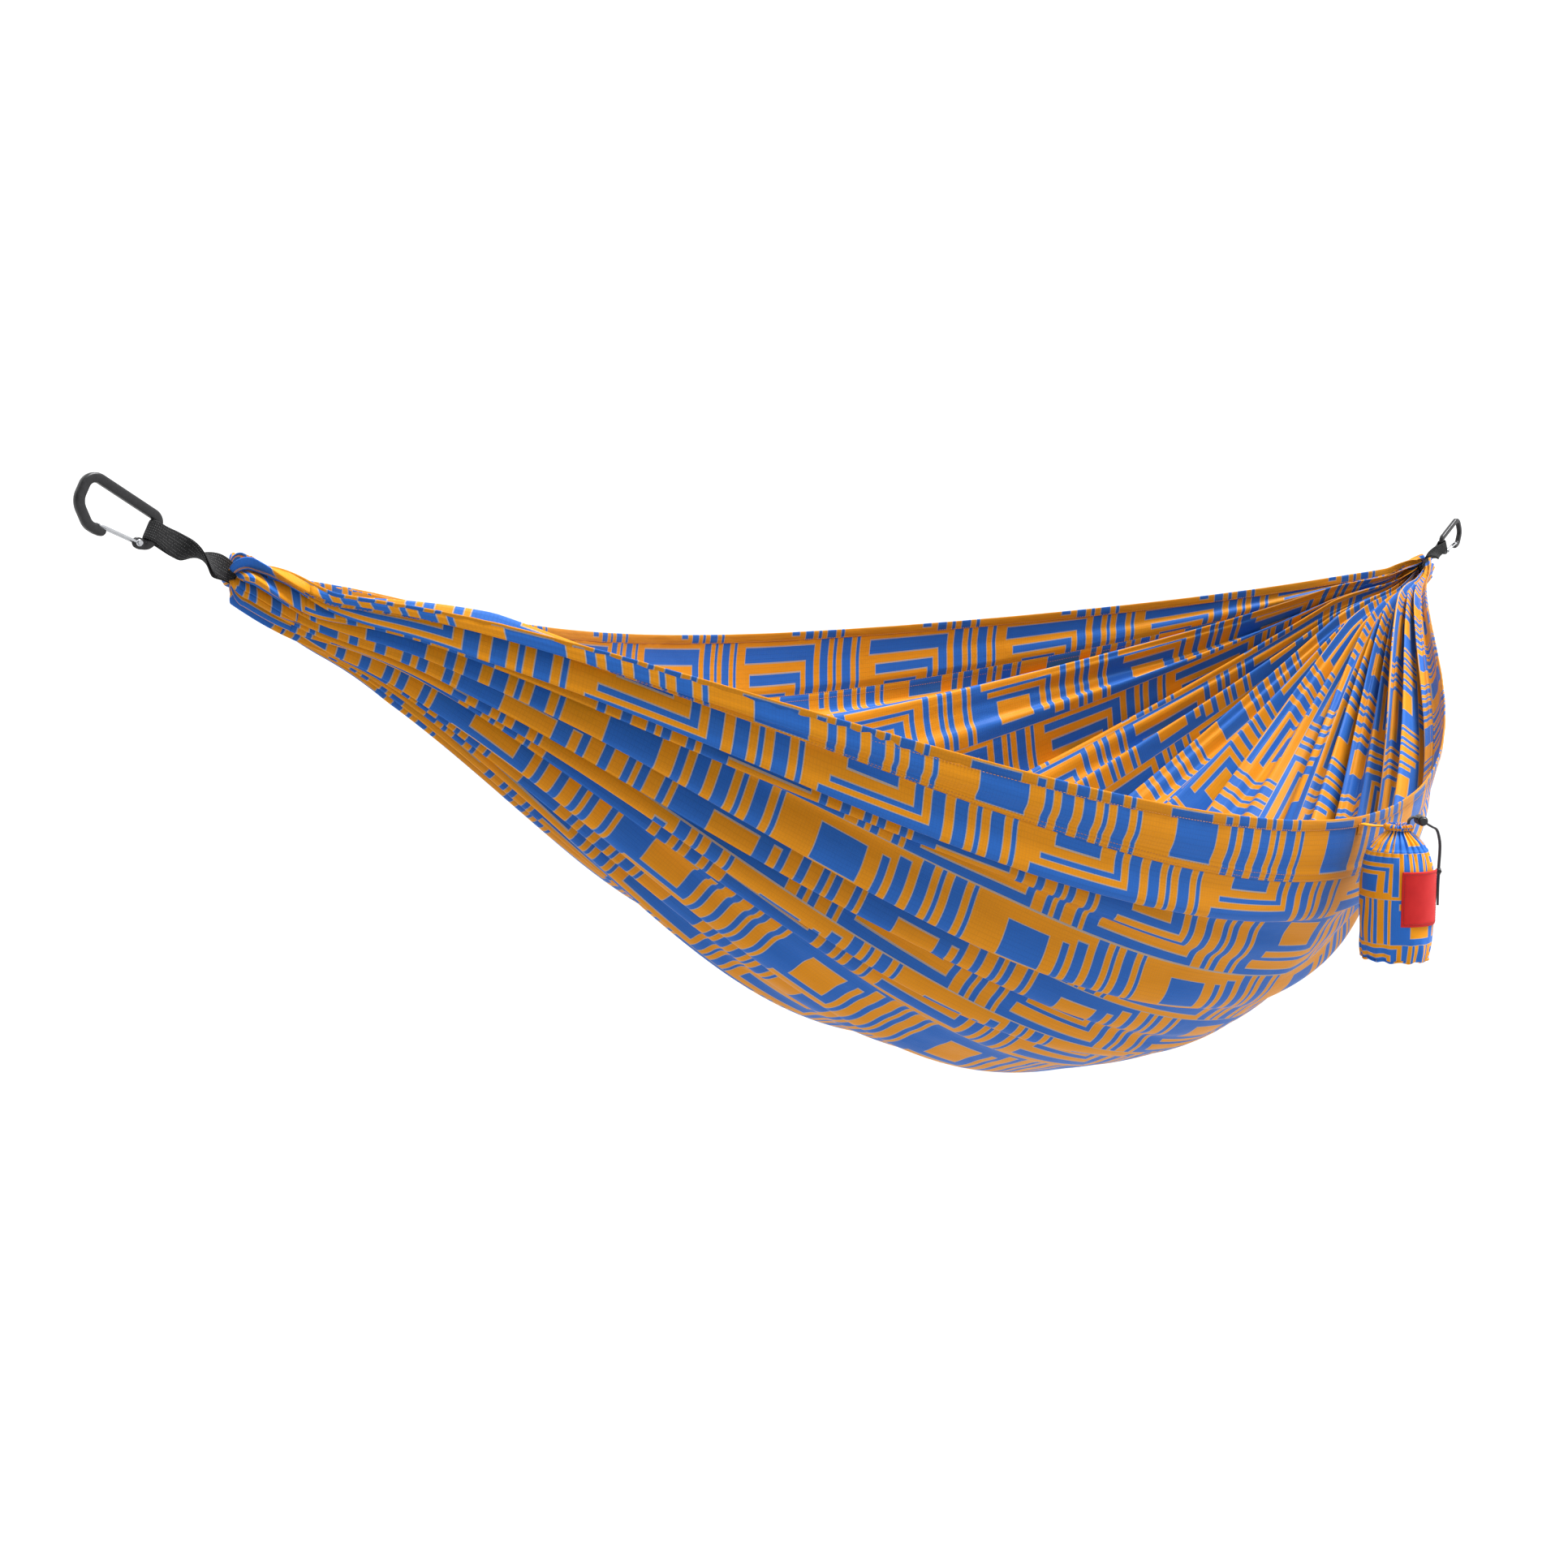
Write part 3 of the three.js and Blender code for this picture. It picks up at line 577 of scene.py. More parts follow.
def make_camera():
    data = bpy.data.cameras.new("camera")
    data.sensor_width = 36.0
    data.lens = CAMERA_LENS
    camera = add_object("camera", data)
    camera.location = CAMERA_PLACE
    level = math.cos(CAMERA_PITCH)
    ahead, aside = math.cos(CAMERA_AZIMUTH) * level, math.sin(CAMERA_AZIMUTH) * level
    look = Vector((aside, ahead, -math.sin(CAMERA_PITCH)))
    camera.rotation_euler = look.to_track_quat("-Z", "Y").to_euler()
    bpy.context.scene.camera = camera


make_camera()


# ---- Drawcord, its knot and tails ----

SACK_CENTRE = (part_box("sack_base")[0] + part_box("sack_base")[1]) / 2
SACK_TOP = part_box("sack_casing")[1].z + 0.0004


def in_sack(points):
    """From the sack's own frame, Z up from the top of its mouth, to the part's frame."""
    return np.asarray(points, float) + np.array([SACK_CENTRE.x, SACK_CENTRE.y, SACK_TOP])


def in_cord_plane(points):
    """From (r, offset, z) in the drawcord's plane to the part's frame."""
    r, offset, z = np.moveaxis(np.asarray(points, float), -1, 0)
    c, s = math.cos(CORD_AZIMUTH), math.sin(CORD_AZIMUTH)
    return in_sack(np.stack([r * c - offset * s, r * s + offset * c, z], -1))


def strand_points(side):
    """Out of the casing, up and over in a small loop, straight through the lock, and down to the knot."""
    loop = 2.2 * 2 * CORD_RADIUS
    start_z = -0.0016
    centre_r, centre_z = MOUTH_RADIUS + loop, start_z + 0.003
    places = [(MOUTH_RADIUS, start_z)]
    for k in range(7):
        a = math.pi - (math.pi / 2 + LOCK_DIP) * k / 6
        places.append((centre_r + loop * math.cos(a), centre_z + loop * math.sin(a)))
    for out in (0.0, 0.008, 0.015, 0.021):
        places.append((LOCK_R + math.cos(LOCK_DIP) * out, LOCK_Z - math.sin(LOCK_DIP) * out))
    places.append((0.0472, -0.014))
    points = [(r, side * CORD_SPACING, z) for r, z in places]
    for r, offset, z in ((0.0490, 0.00155, -0.024), (0.0492, 0.0016, -0.034), (0.0489, 0.00155, -0.043),
                         (KNOT_R, 0.0015, -0.0512), (KNOT_R, 0.0012, -0.0560)):
        points.append((r, side * offset, z))
    return in_cord_plane(points)


def tail_points(side):
    """Down from the knot, the two tails drawing apart."""
    drop = 0.008 if side > 0 else 0.0085
    points = [(KNOT_R, side * 0.0012, -0.0580)]
    for k, offset in enumerate((0.0015, 0.002, 0.0032, 0.0046, 0.006)):
        points.append((KNOT_R - 0.00035 * k, side * offset, -0.0628 - drop * k))
    return in_cord_plane(points)


def cord_curve(name, points):
    data = bpy.data.curves.new(name, "CURVE")
    data.dimensions = "3D"
    data.bevel_depth = CORD_RADIUS
    data.bevel_resolution = 5
    data.use_fill_caps = True
    data.resolution_u = 4
    spline = data.splines.new("POLY")
    path = smooth_path(points, max(24, 6 * len(points)))
    spline.points.add(len(path) - 1)
    for point, place in zip(spline.points, path):
        point.co = (*place, 1.0)
    spline.use_smooth = True
    return add_object(name, data), along_lengths(path)[-1]


def make_knot():
    """An overhand knot of both cords, pulled tight, centred where its CAD node is."""
    low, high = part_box("drawcord_knot")
    centre = np.array((low + high) / 2)
    a = angles(96)
    trefoil = np.stack([np.sin(a) + 2 * np.sin(2 * a), np.cos(a) - 2 * np.cos(2 * a), -1.5 * np.sin(3 * a)])
    c, s = math.cos(CORD_AZIMUTH), math.sin(CORD_AZIMUTH)
    out, side = np.array([c, s, 0.0]), np.array([-s, c, 0.0])
    path = centre + 0.00105 * (trefoil.T @ np.array([side * 0.95, Z_WAY * 1.15, out]))
    tangents = unit(np.roll(path, -1, axis=0) - np.roll(path, 1, axis=0))
    across = unit(np.cross(tangents, out + 0.3 * Z_WAY))
    rings = rings_along(path, across, np.cross(tangents, across), circle(0.00155, 14))
    return swept_piece("tied_knot", rings, closed_path=True)


def make_drawcord():
    knot = finish_piece(make_knot(), cord_look, "sack", "cord", "drawcord_knot")
    for letter, side in (("a", 1), ("b", -1)):
        points = strand_points(side)
        strand, length = cord_curve(f"cord_strand_{letter}", points)
        finish_piece(strand, cord_look, "sack", "cord", f"drawcord_strand_{letter}")
        points = tail_points(side)
        tail, length = cord_curve(f"cord_tail_{letter}", points)
        finish_piece(tail, cord_look, "sack", "cord", f"drawcord_tail_{letter}")


make_drawcord()


# ---- Bed ----

def through_three(near, middle, far, v):
    """The parabola through three values, at v = 0, 0.5 and 1."""
    return near * 2 * (v - 0.5) * (v - 1) + middle * -4 * v * (v - 1) + far * 2 * v * (v - 0.5)


def bed_surface(t, v):
    """The bed without its pleats: t runs from -1 to 1 between the gathers, v from 0 at the near rim to 1."""
    near_angle, far_angle = math.atan2(RIM_NEAR[1], RIM_NEAR[0]), math.atan2(RIM_FAR[1], RIM_FAR[0])
    angle = through_three(near_angle, -math.pi / 2, far_angle, v)
    reach = through_three(math.hypot(*RIM_NEAR), BED_DEPTH, math.hypot(*RIM_FAR), v)
    opened = 1 - t * t
    neck = smoothstep(NECK_FROM, 1.0, np.abs(t))
    gather_angle = np.radians(-165 + 200 * v + 150 * (v - 0.5) * neck)
    gather = GATHER_RADIUS * t ** 4 * (1 + 0.12 * neck)
    x = MIDDLE_X + t * GATHER_SPAN / 2
    from_gather = (1 - np.abs(t)) * GATHER_SPAN / 2
    fall = CHANNEL_SLOPE * from_gather * np.exp(-(from_gather / 0.10) ** 2) * (1 - 0.8 * (2 * v - 1) ** 2)
    taper_y, taper_z = (1 + through_three(*taper, v) * t * t for taper in (TAPER_Y, TAPER_Z))
    y = reach * np.cos(angle) * opened * taper_y + gather * np.cos(gather_angle)
    z = reach * np.sin(angle) * opened * taper_z + gather * np.sin(gather_angle)
    return np.stack([x, y, z - GATHER_DROP - fall], -1)


def pleat_waves(t, v):
    """Folds that fan out of both gathers, about one high; close to a gather they pair up into thick lobes."""
    total = np.zeros_like(t)
    for end in (-1, 1):
        offsets = rng.uniform(0, math.tau, 9)
        wobble = sum(0.011 * np.sin(math.tau * k * v + offsets[k]) / math.sqrt(k) for k in (1, 2, 3, 5))
        phase = math.tau * PLEATS * (v + wobble)
        near_end = smoothstep(-0.45, 0.45, end * t)
        closeness = smoothstep(0.25, 1.0, end * t)
        lobed = smoothstep(0.90, 0.985, end * t)
        strength = (1 + 0.34 * np.sin(phase / 2 + 0.6 * t + offsets[5])
                    + 0.26 * np.sin(phase / 3.3 - 0.8 * t + offsets[6]))
        main = np.sin(phase) + 0.24 * np.sin(2 * phase + offsets[7]) + 0.10 * np.sin(3 * phase)
        broad = 0.40 * np.sin(phase / 2 + offsets[8]) + 0.22 * np.sin(phase / 3.1 + offsets[4])
        fine = 0.30 * np.sin(2.5 * phase + offsets[3] + 5 * t)
        folds = strength * main * (0.45 + 0.55 * closeness) * (1 - 0.5 * lobed)
        folds += (1 - closeness) * broad + closeness * (1 - lobed) * fine
        folds += 1.15 * lobed * np.sin(phase / 2 + offsets[2] + 0.8 * np.sin(phase / 6.0 + offsets[1]))
        total += near_end * folds
    return 1.7 * np.tanh(total / 1.7)


def pleated_bed(rows, columns):
    """Points, inward and crosswise unit vectors and flat cloth coordinates of the whole bed, as a grid."""
    # Rows crowd towards the gathers, where the folds are tight
    closing = 0.44 * math.pi
    t_line = BED_REACH * np.sin(closing * np.linspace(-1, 1, rows)) / math.sin(closing)
    t, v = np.meshgrid(t_line, columns, indexing="ij")
    base = bed_surface(t, v)
    along = unit(np.gradient(base, t_line, axis=0))
    across = unit(np.gradient(base, columns, axis=1))
    inward = unit(np.cross(along, across))
    waves = pleat_waves(t, v) + INWARD_SHARE
    neck = smoothstep(NECK_FROM, 1.0, np.abs(t))[..., None]
    direction = inward + 0.75 * across * across[..., 2:3] * (1 - 0.7 * neck)
    # Folds fade out at the rims and along the bottom, which the weight of the cloth pulls flat
    smooth_rim = smoothstep(0.035, 0.12, v) * smoothstep(0.965, 0.88, v)
    edge = 0.12 + 0.88 * np.maximum(smooth_rim, 0.8 * neck[..., 0])
    edge = edge * (1 - 0.62 * np.exp(-((v - 0.50) / 0.13) ** 2) * smoothstep(0.9, 0.35, np.abs(t)))
    # In each row the folds are as deep as they must be to take up the flat width, within a limit
    limit = FOLD_DEPTH[0] + (FOLD_DEPTH[1] - FOLD_DEPTH[0]) * smoothstep(0.985, 0.72, np.abs(t_line))
    low, high = np.zeros(rows), limit.copy()

    def shaped(amount):
        return base + direction * (amount[:, None] * waves * edge)[..., None]

    for _ in range(18):
        middle = (low + high) / 2
        width = np.linalg.norm(np.diff(shaped(middle), axis=1), axis=-1).sum(axis=1)
        wide = width > FLAT_WIDTH
        high = np.where(wide, middle, high)
        low = np.where(wide, low, middle)
    points = shaped(low)
    lengths = along_lengths(base)
    shares = along_lengths(points.swapaxes(0, 1))
    flat_v = (shares / shares[-1]).mean(axis=1) * FLAT_WIDTH
    uv = np.stack(np.broadcast_arrays(lengths - lengths[rows // 2], flat_v[None, :]), -1)
    return points, inward, across, uv, t_line


def bed_columns():
    """The share of the bed's width at each column, and the number of the first seam's column."""
    side = np.linspace(0, SIDE_PANEL_SHARE, SIDE_COLUMNS + 1)
    main = np.linspace(SIDE_PANEL_SHARE, 1 - SIDE_PANEL_SHARE, MAIN_COLUMNS + 1)
    return np.concatenate([side[:-1], main, 1 - side[::-1][1:]]), SIDE_COLUMNS


def make_hem(name, points, across, outward, uv):
    """The rolled hem along a rim: a flat tube of doubled cloth with a slight ripple."""
    ripple = 0.00025 * np.sin(uv[:, 0] / 0.0045) + 0.0002 * np.sin(uv[:, 0] / 0.0019)
    section = rounded_section(HEM_WIDTH / 2, 0.0014, 20, 0.7)
    rings = rings_along(points + across * (HEM_WIDTH / 2 - 0.001), across, outward, section)
    rings = rings + (outward * ripple[:, None])[:, None, :]
    return swept_piece(name, rings, start_u=HEM_PRINT)


def make_end_channel(side, points, uv):
    """The end channel scrunched over the webbing: the bed's folds run on into it and tuck in round that."""
    rim = points[-1]
    centre = rim.mean(axis=0)
    sign = -1 if side == "left" else 1
    outward = np.array([sign * math.cos(HANG_ANGLE / 2), 0.0, math.sin(HANG_ANGLE / 2)])
    share = np.linspace(0, 1, len(rim))
    reach = 0.0105 + 0.0035 * np.sin(math.tau * 3 * share + 1.0) + 0.002 * np.sin(math.tau * 7 * share)
    step = np.arange(1, 10)[:, None]
    turn = math.pi / 2 * step / 9
    shrink = 0.30 + 0.70 * np.cos(turn)
    cap = centre + (rim - centre) * shrink[..., None] + outward * (reach * np.sin(turn))[..., None]
    cap_uv = uv[-1] + np.array([0.0035, 0.0]) * step[..., None]
    grid = np.concatenate([points, cap])
    cloth = np.concatenate([uv, cap_uv])
    piece = cloth_piece(f"{side}_channel_cloth", grid, cloth)
    return finish_piece(piece, bed_cloth, "bed", "printed_cloth", f"{side}_end_channel")


def make_tab_foot(line, outward):
    """The end of the sack's tab, sewn flat to the outside of the hem with two rows of stitches."""
    path = smooth_path(line + outward * 0.0021, 14)
    up = unit(np.cross(np.gradient(path, axis=0), X_WAY))
    foot = swept_piece("tab_foot", rings_along(path, X_WAY, up, rounded_section(0.0062, 0.0006, 20, 0.5)))
    finish_piece(foot, sack_cloth, "bed", "side_cloth")
    spread = np.linspace(-0.0048, 0.0048, 5)[:, None] * X_WAY
    rows = [path[k] + outward[0] * 0.0007 + spread for k in (6, 11)]
    seam = stitches("tab_stitching", rows, [np.tile(outward[0], (5, 1))] * 2, 0.0020, 0.0028, 0.0003)
    finish_piece(seam, tan_thread, "bed", "side_cloth")


def make_side_panel(name, rim, chosen, seam, points, inward, uv):
    """The panel along one rim, from the chosen columns; past its seam it lies outside the main panel."""
    lapped = SEAM_LAP * (np.abs(chosen - rim) >= seam - 1)
    grid = points[:, chosen] - inward[:, chosen] * lapped[None, :, None]
    piece = cloth_piece(f"{name}_side_cloth", grid, uv[:, chosen] + np.array(SIDE_PRINT[name]))
    return finish_piece(piece, bed_cloth, "bed", "side_cloth", f"{name}_side_panel")


def bed_stitch_lines(points, inward, across, seam):
    """Lines of stitches on both faces of each hem and each side seam, and the ways out of the cloth there."""
    lines, normals = [], []
    for rim, sign in ((0, 1), (points.shape[1] - 1, -1)):
        hem = points[:, rim] + sign * across[:, rim] * (HEM_WIDTH - 0.0025)
        placed = [(rim, hem, 0.0016), (rim, hem, -0.0016)]
        for column in (rim + sign * seam, rim + sign * (seam + 2)):
            placed.append((column, points[:, column], -SEAM_LAP - 0.0004))
            placed.append((column, points[:, column], 0.0004))
        for column, line, lift in placed:
            lines.append(line + inward[:, column] * lift)
            normals.append(inward[:, column] * np.sign(lift))
    return lines, normals


def make_bed():
    columns, seam = bed_columns()
    points, inward, across, uv, t_line = pleated_bed(ROWS, columns)
    last, middle = len(columns) - 1, ROWS // 2
    first = int(np.searchsorted(t_line, -CHANNEL_FROM))
    body = slice(first, ROWS - first)
    make_end_channel("left", points[:first + 1][::-1], uv[:first + 1][::-1] * np.array([-1.0, 1.0]))
    make_end_channel("right", points[ROWS - first - 1:], uv[ROWS - first - 1:])
    main = cloth_piece("bed_cloth", points[body, seam:last - seam + 1], uv[body, seam:last - seam + 1])
    finish_piece(main, bed_cloth, "bed", "printed_cloth", "bed_main_panel")
    wide = seam + LAPPED_COLUMNS
    sides = [make_side_panel(name, rim, chosen, seam, points[body], inward[body], uv[body])
             for name, rim, chosen in (("near", 0, np.arange(wide + 1)),
                                       ("far", last, np.arange(last - wide, last + 1)))]
    first_hem = int(np.searchsorted(t_line, -HEM_REACH))
    for name, column, sign in (("near", 0, 1), ("far", last, -1)):
        at = (slice(first_hem, ROWS - first_hem), column)
        hem = make_hem(f"{name}_rim_hem", points[at], sign * across[at], inward[at], uv[at])
        finish_piece(hem, hem_cloth, "bed", "side_cloth")
    lines, normals = bed_stitch_lines(points[body], inward[body], across[body], seam)
    finish_piece(stitches("bed_stitching", lines, normals), tan_thread, "bed", "side_cloth")
    make_tab_foot(points[middle, 3:9], -inward[middle, 3:9])


make_bed()


# ---- Suspension: one end, with s along the suspension's line and n towards the carabiner's spine ----

def at_end(side, points):
    """From (s, y, n) at one end, s down the line of the pull and n upwards from it, to the part's frame."""
    s, y, n = np.moveaxis(np.asarray(points, float), -1, 0)
    x = s * math.cos(HANG_ANGLE) + n * math.sin(HANG_ANGLE)
    z = -s * math.sin(HANG_ANGLE) + n * math.cos(HANG_ANGLE)
    if side == "right":
        return np.stack([RIGHT_SEAT_X - x, -y, z], -1)
    return np.stack([x, y, z], -1)


def filleted(corners, steps):
    """A line through (x, y, radius) corners, each rounded by an arc."""
    points = [np.array(c[:2], float) for c in corners]
    line = [points[0]]
    for i in range(1, len(points) - 1):
        back, ahead = unit(points[i - 1] - points[i]), unit(points[i + 1] - points[i])
        half = math.acos(float(np.dot(back, ahead))) / 2
        centre = points[i] + unit(back + ahead) * corners[i][2] / math.sin(half)
        start = points[i] + back * corners[i][2] / math.tan(half) - centre
        cross = back[0] * ahead[1] - back[1] * ahead[0]
        turn = -np.sign(cross) * (math.pi - 2 * half)
        for k in range(steps + 1):
            a = turn * k / steps
            line.append(centre + np.array([start[0] * math.cos(a) - start[1] * math.sin(a),
                                           start[0] * math.sin(a) + start[1] * math.cos(a)]))
    line.append(points[-1])
    return np.array(line)


def carve(piece, *cutters):
    """Cut the cutters out of a piece, and remove them."""
    for cutter in cutters:
        modifier = piece.modifiers.new("carve", "BOOLEAN")
        modifier.object = cutter
        modifier.operation = "DIFFERENCE"
        modifier.solver = "EXACT"
    bpy.context.view_layer.update()
    carved = bpy.data.meshes.new_from_object(piece.evaluated_get(bpy.context.evaluated_depsgraph_get()))
    piece.modifiers.clear()
    piece.data = carved
    for cutter in cutters:
        bpy.data.objects.remove(cutter)
    return piece


def gate_point(distance):
    """The (s, n) of a point on the closed gate, at a distance from its pin."""
    return (GATE_PIN[0] - distance * math.cos(GATE_DROP), GATE_PIN[1] - distance * math.sin(GATE_DROP))


def prism(name, side, corners, half_depth):
    """A solid through the carabiner's thickness, from corners (s, n)."""
    count = len(corners)
    points = [(s, y, n) for y in (-half_depth, half_depth) for s, n in corners]
    faces = [list(range(count)), list(range(count, 2 * count))[::-1]]
    faces += [[k, k + count, (k + 1) % count + count, (k + 1) % count] for k in range(count)]
    return mesh_piece(name, at_end(side, np.array(points)), faces)


def make_carabiner(side):
    bar = filleted(BODY_CORNERS, 16)
    line, at = spaced(bar, round(along_lengths(bar)[-1] / 0.0009) + 1)
    from_pin = at[-1] - at
    thickening = (BODY_HALF_THICKNESS - EAR_HALF_THICKNESS) * smoothstep(0.0062, 0.0078, from_pin)
    thickness = EAR_HALF_THICKNESS + thickening
    width = BODY_HALF_WIDTH + 0.0007 * smoothstep(0.006, 0.003, from_pin)
    width = width + 0.0006 * smoothstep(0.009, 0.004, at)
    tangents = unit(np.gradient(line, axis=0))
    # The bar's two ends are rounded off by sections that shrink as they leave it
    shrunk = np.linspace(0.04, 1.0, 9)[:-1]
    past = np.sqrt(1 - shrunk ** 2)[:, None]
    centres = np.concatenate([line[0] - tangents[0] * width[0] * past, line,
                              line[-1] + tangents[-1] * width[-1] * past[::-1]])
    grow = np.concatenate([shrunk, np.ones(len(line)), shrunk[::-1]])
    index = np.pad(np.arange(len(line)), len(shrunk), mode="edge")
    path = np.stack([centres[:, 0], np.zeros(len(centres)), centres[:, 1]], -1)
    t = tangents[index]
    across = np.stack([-t[:, 1], np.zeros(len(t)), t[:, 0]], -1)
    sections = np.array([rounded_section(w * g, h * (0.35 + 0.65 * g), 28, 0.6)
                         for w, h, g in zip(width[index], thickness[index], grow)])
    piece = swept_piece(f"{side}_carabiner", at_end(side, rings_along(path, across, Y_WAY, sections)))
    seat = gate_point(GATE_LENGTH)
    clearance = GATE_WIRE + 0.0003
    a = angles(24)
    notch = [(seat[0] + clearance * math.cos(k), seat[1] + clearance * math.sin(k)) for k in a]
    low = seat[1] - clearance
    step = [(seat[0], low), (seat[0] + 0.014, low), (seat[0] + 0.014, low + 0.006), (seat[0], low + 0.006)]
    carve(piece, prism("notch", side, notch, 0.009), prism("step", side, step, 0.009))
    return finish_piece(piece, alloy_look, f"{side}_carabiner", "black_alloy", f"{side}_carabiner_body")


def make_gate(side):
    corner = GATE_WIRE + 0.001
    bend = filleted([(-GATE_EYE, GATE_LEG_OFFSET, 0), (-GATE_LENGTH, GATE_LEG_OFFSET, corner),
                     (-GATE_LENGTH, -GATE_LEG_OFFSET, corner), (-GATE_EYE, -GATE_LEG_OFFSET, 0)], 10)
    line, _ = spaced(bend, round(along_lengths(bend)[-1] / 0.0008) + 1)
    c, s = math.cos(GATE_DROP), math.sin(GATE_DROP)

    def turned(points):
        x, y, z = np.moveaxis(points, -1, 0)
        return np.stack([GATE_PIN[0] + x * c - z * s, y, GATE_PIN[1] + x * s + z * c], -1)

    path = np.pad(line, ((0, 0), (0, 1)))
    across = unit(np.cross(np.gradient(path, axis=0), Z_WAY))
    rings = rings_along(path, across, Z_WAY, circle(GATE_WIRE, 16))
    wire = swept_piece(f"{side}_wire_gate", at_end(side, turned(rings)))
    finish_piece(wire, steel_look, f"{side}_gate", "steel", f"{side}_gate_wire")
    a = angles(28)
    eye_radius = 0.00235
    for number, offset in enumerate((GATE_LEG_OFFSET, -GATE_LEG_OFFSET)):
        ring = np.stack([eye_radius * np.cos(a), np.full(len(a), offset), eye_radius * np.sin(a)], -1)
        spoke = np.stack([np.cos(a), np.zeros(len(a)), np.sin(a)], -1)
        eye = rings_along(ring, spoke, Y_WAY, circle(0.0008, 12) * np.array([1.0, 1.4]))
        piece = swept_piece(f"{side}_gate_eye_{number}", at_end(side, turned(eye)), closed_path=True)
        finish_piece(piece, steel_look, f"{side}_gate", "steel")


def make_webbing(side):
    """One strip from the gather, round the carabiner's narrow end and back, with a half twist below it."""
    s_out = np.linspace(WEBBING_END, BAR_S, 70)
    closing = smoothstep(BAR_S - 0.004, WEBBING_MEETS, s_out)
    gap = BIGHT_RADIUS * (1 - closing) + closing * (0.0012 + 0.0016 * smoothstep(0.118, 0.148, s_out))
    a = np.linspace(0, math.pi, 21)[1:-1]
    s_all = np.concatenate([s_out, BAR_S - BIGHT_RADIUS * np.sin(a), s_out[::-1]])
    y_all = np.concatenate([gap, BIGHT_RADIUS * np.cos(a), -gap[::-1]])
    twist = math.pi * smoothstep(0.088, 0.150, s_all)
    out = np.stack([np.zeros(len(s_all)), np.cos(twist), np.sin(twist)], -1)
    path = np.stack([s_all, np.zeros(len(s_all)), np.full(len(s_all), BAR_N)], -1) + y_all[:, None] * out
    path[:, 2] += (-BAR_N) * smoothstep(0.09, 0.15, s_all)
    width_way = np.stack([np.zeros(len(s_all)), -np.sin(twist), np.cos(twist)], -1)
    tangents = unit(np.gradient(path, axis=0))
    width_way = unit(width_way - tangents * np.sum(width_way * tangents, -1, keepdims=True))
    up = np.cross(tangents, width_way)
    widths = 0.0090 + 0.0022 * smoothstep(0.074, 0.094, s_all) - 0.0030 * smoothstep(0.135, 0.16, s_all)
    base = rounded_section(1.0, WEBBING_HALF_THICKNESS, 26, 0.45)
    x, y = base.T
    width = widths[:, None]
    cup = 0.10 * smoothstep(0.088, 0.12, s_all)[:, None] * width
    sections = np.stack([x * width, y + cup * (x * x - 0.4)], -1)
    rings = rings_along(path, width_way, up, sections)
    piece = swept_piece(f"{side}_webbing", at_end(side, rings))
    return finish_piece(piece, webbing_look, "bed", "webbing", f"{side}_webbing_loop")


def dress(node, look):
    """Give a carried-over CAD node its material."""
    materials = frame["nodes"][node].data.materials
    materials.clear()
    materials.append(look)


for side in ("left", "right"):
    make_carabiner(side)
    make_gate(side)
    make_webbing(side)
    dress(f"{side}_gate_rivet", steel_look)


# ---- Stuff sack ----

def sack_piece(name, radius, a, z, uv, node, thickness=0.0):
    """A round piece of the sack's cloth, from grids of radius, azimuth and height."""
    points = in_sack(np.stack([radius * np.cos(a), radius * np.sin(a), z], -1))
    uv = PRINT_SCALE_ON_SACK * np.stack(uv, -1)
    piece = mesh_piece(name, points, grid_faces(*points.shape[:2]), uv, thickness, weld=True)
    return finish_piece(piece, sack_cloth, "sack", "sack_cloth", node)


def foot_waves(a):
    """The puckers at the sack's foot: how far out and how far down they push it at each azimuth."""
    return 0.0009 * np.sin(19 * a + wobble[5]), 0.0010 * np.sin(12 * a + wobble[6])


def make_sack_body():
    z = -np.concatenate([np.linspace(0.0086, 0.030, 40), np.linspace(0.0315, 0.1605, 90)])
    a = np.linspace(0, math.tau, 353)
    zz, aa = np.meshgrid(z, a, indexing="ij")
    radius = np.interp(-zz, *zip(*SACK_OUTLINE))
    kernel = np.ones(9) / 9
    padded = np.pad(radius, ((4, 4), (0, 0)), mode="edge")
    radius = np.stack([np.convolve(padded[:, k], kernel, "valid") for k in range(radius.shape[1])], -1)
    gathers = SACK_GATHERS * aa + 0.8 * np.sin(3 * aa)
    top = smoothstep(-0.050, -0.010, zz)
    radius = radius + top * (0.0019 * np.sin(gathers) + 0.0006 * np.sin(2 * gathers + wobble[1]))
    lean = np.sin(2 * aa + 30 * zz + wobble[2]) + 0.6 * np.sin(3 * aa - 46 * zz + wobble[3])
    radius = radius + (1 - top) * 0.0009 * lean
    radius = radius + 0.0006 * (1 - top) * np.sin(5 * aa + 90 * zz + wobble[4])
    foot = smoothstep(-0.128, -0.158, zz)
    out, drop = foot_waves(aa)
    radius = radius + foot * out
    uv = (aa * SACK_RADIUS + 0.035, zz + 0.30)
    sack_piece("sack_cloth", radius, aa, zz + foot * drop, uv, "sack_body", SACK_CLOTH)


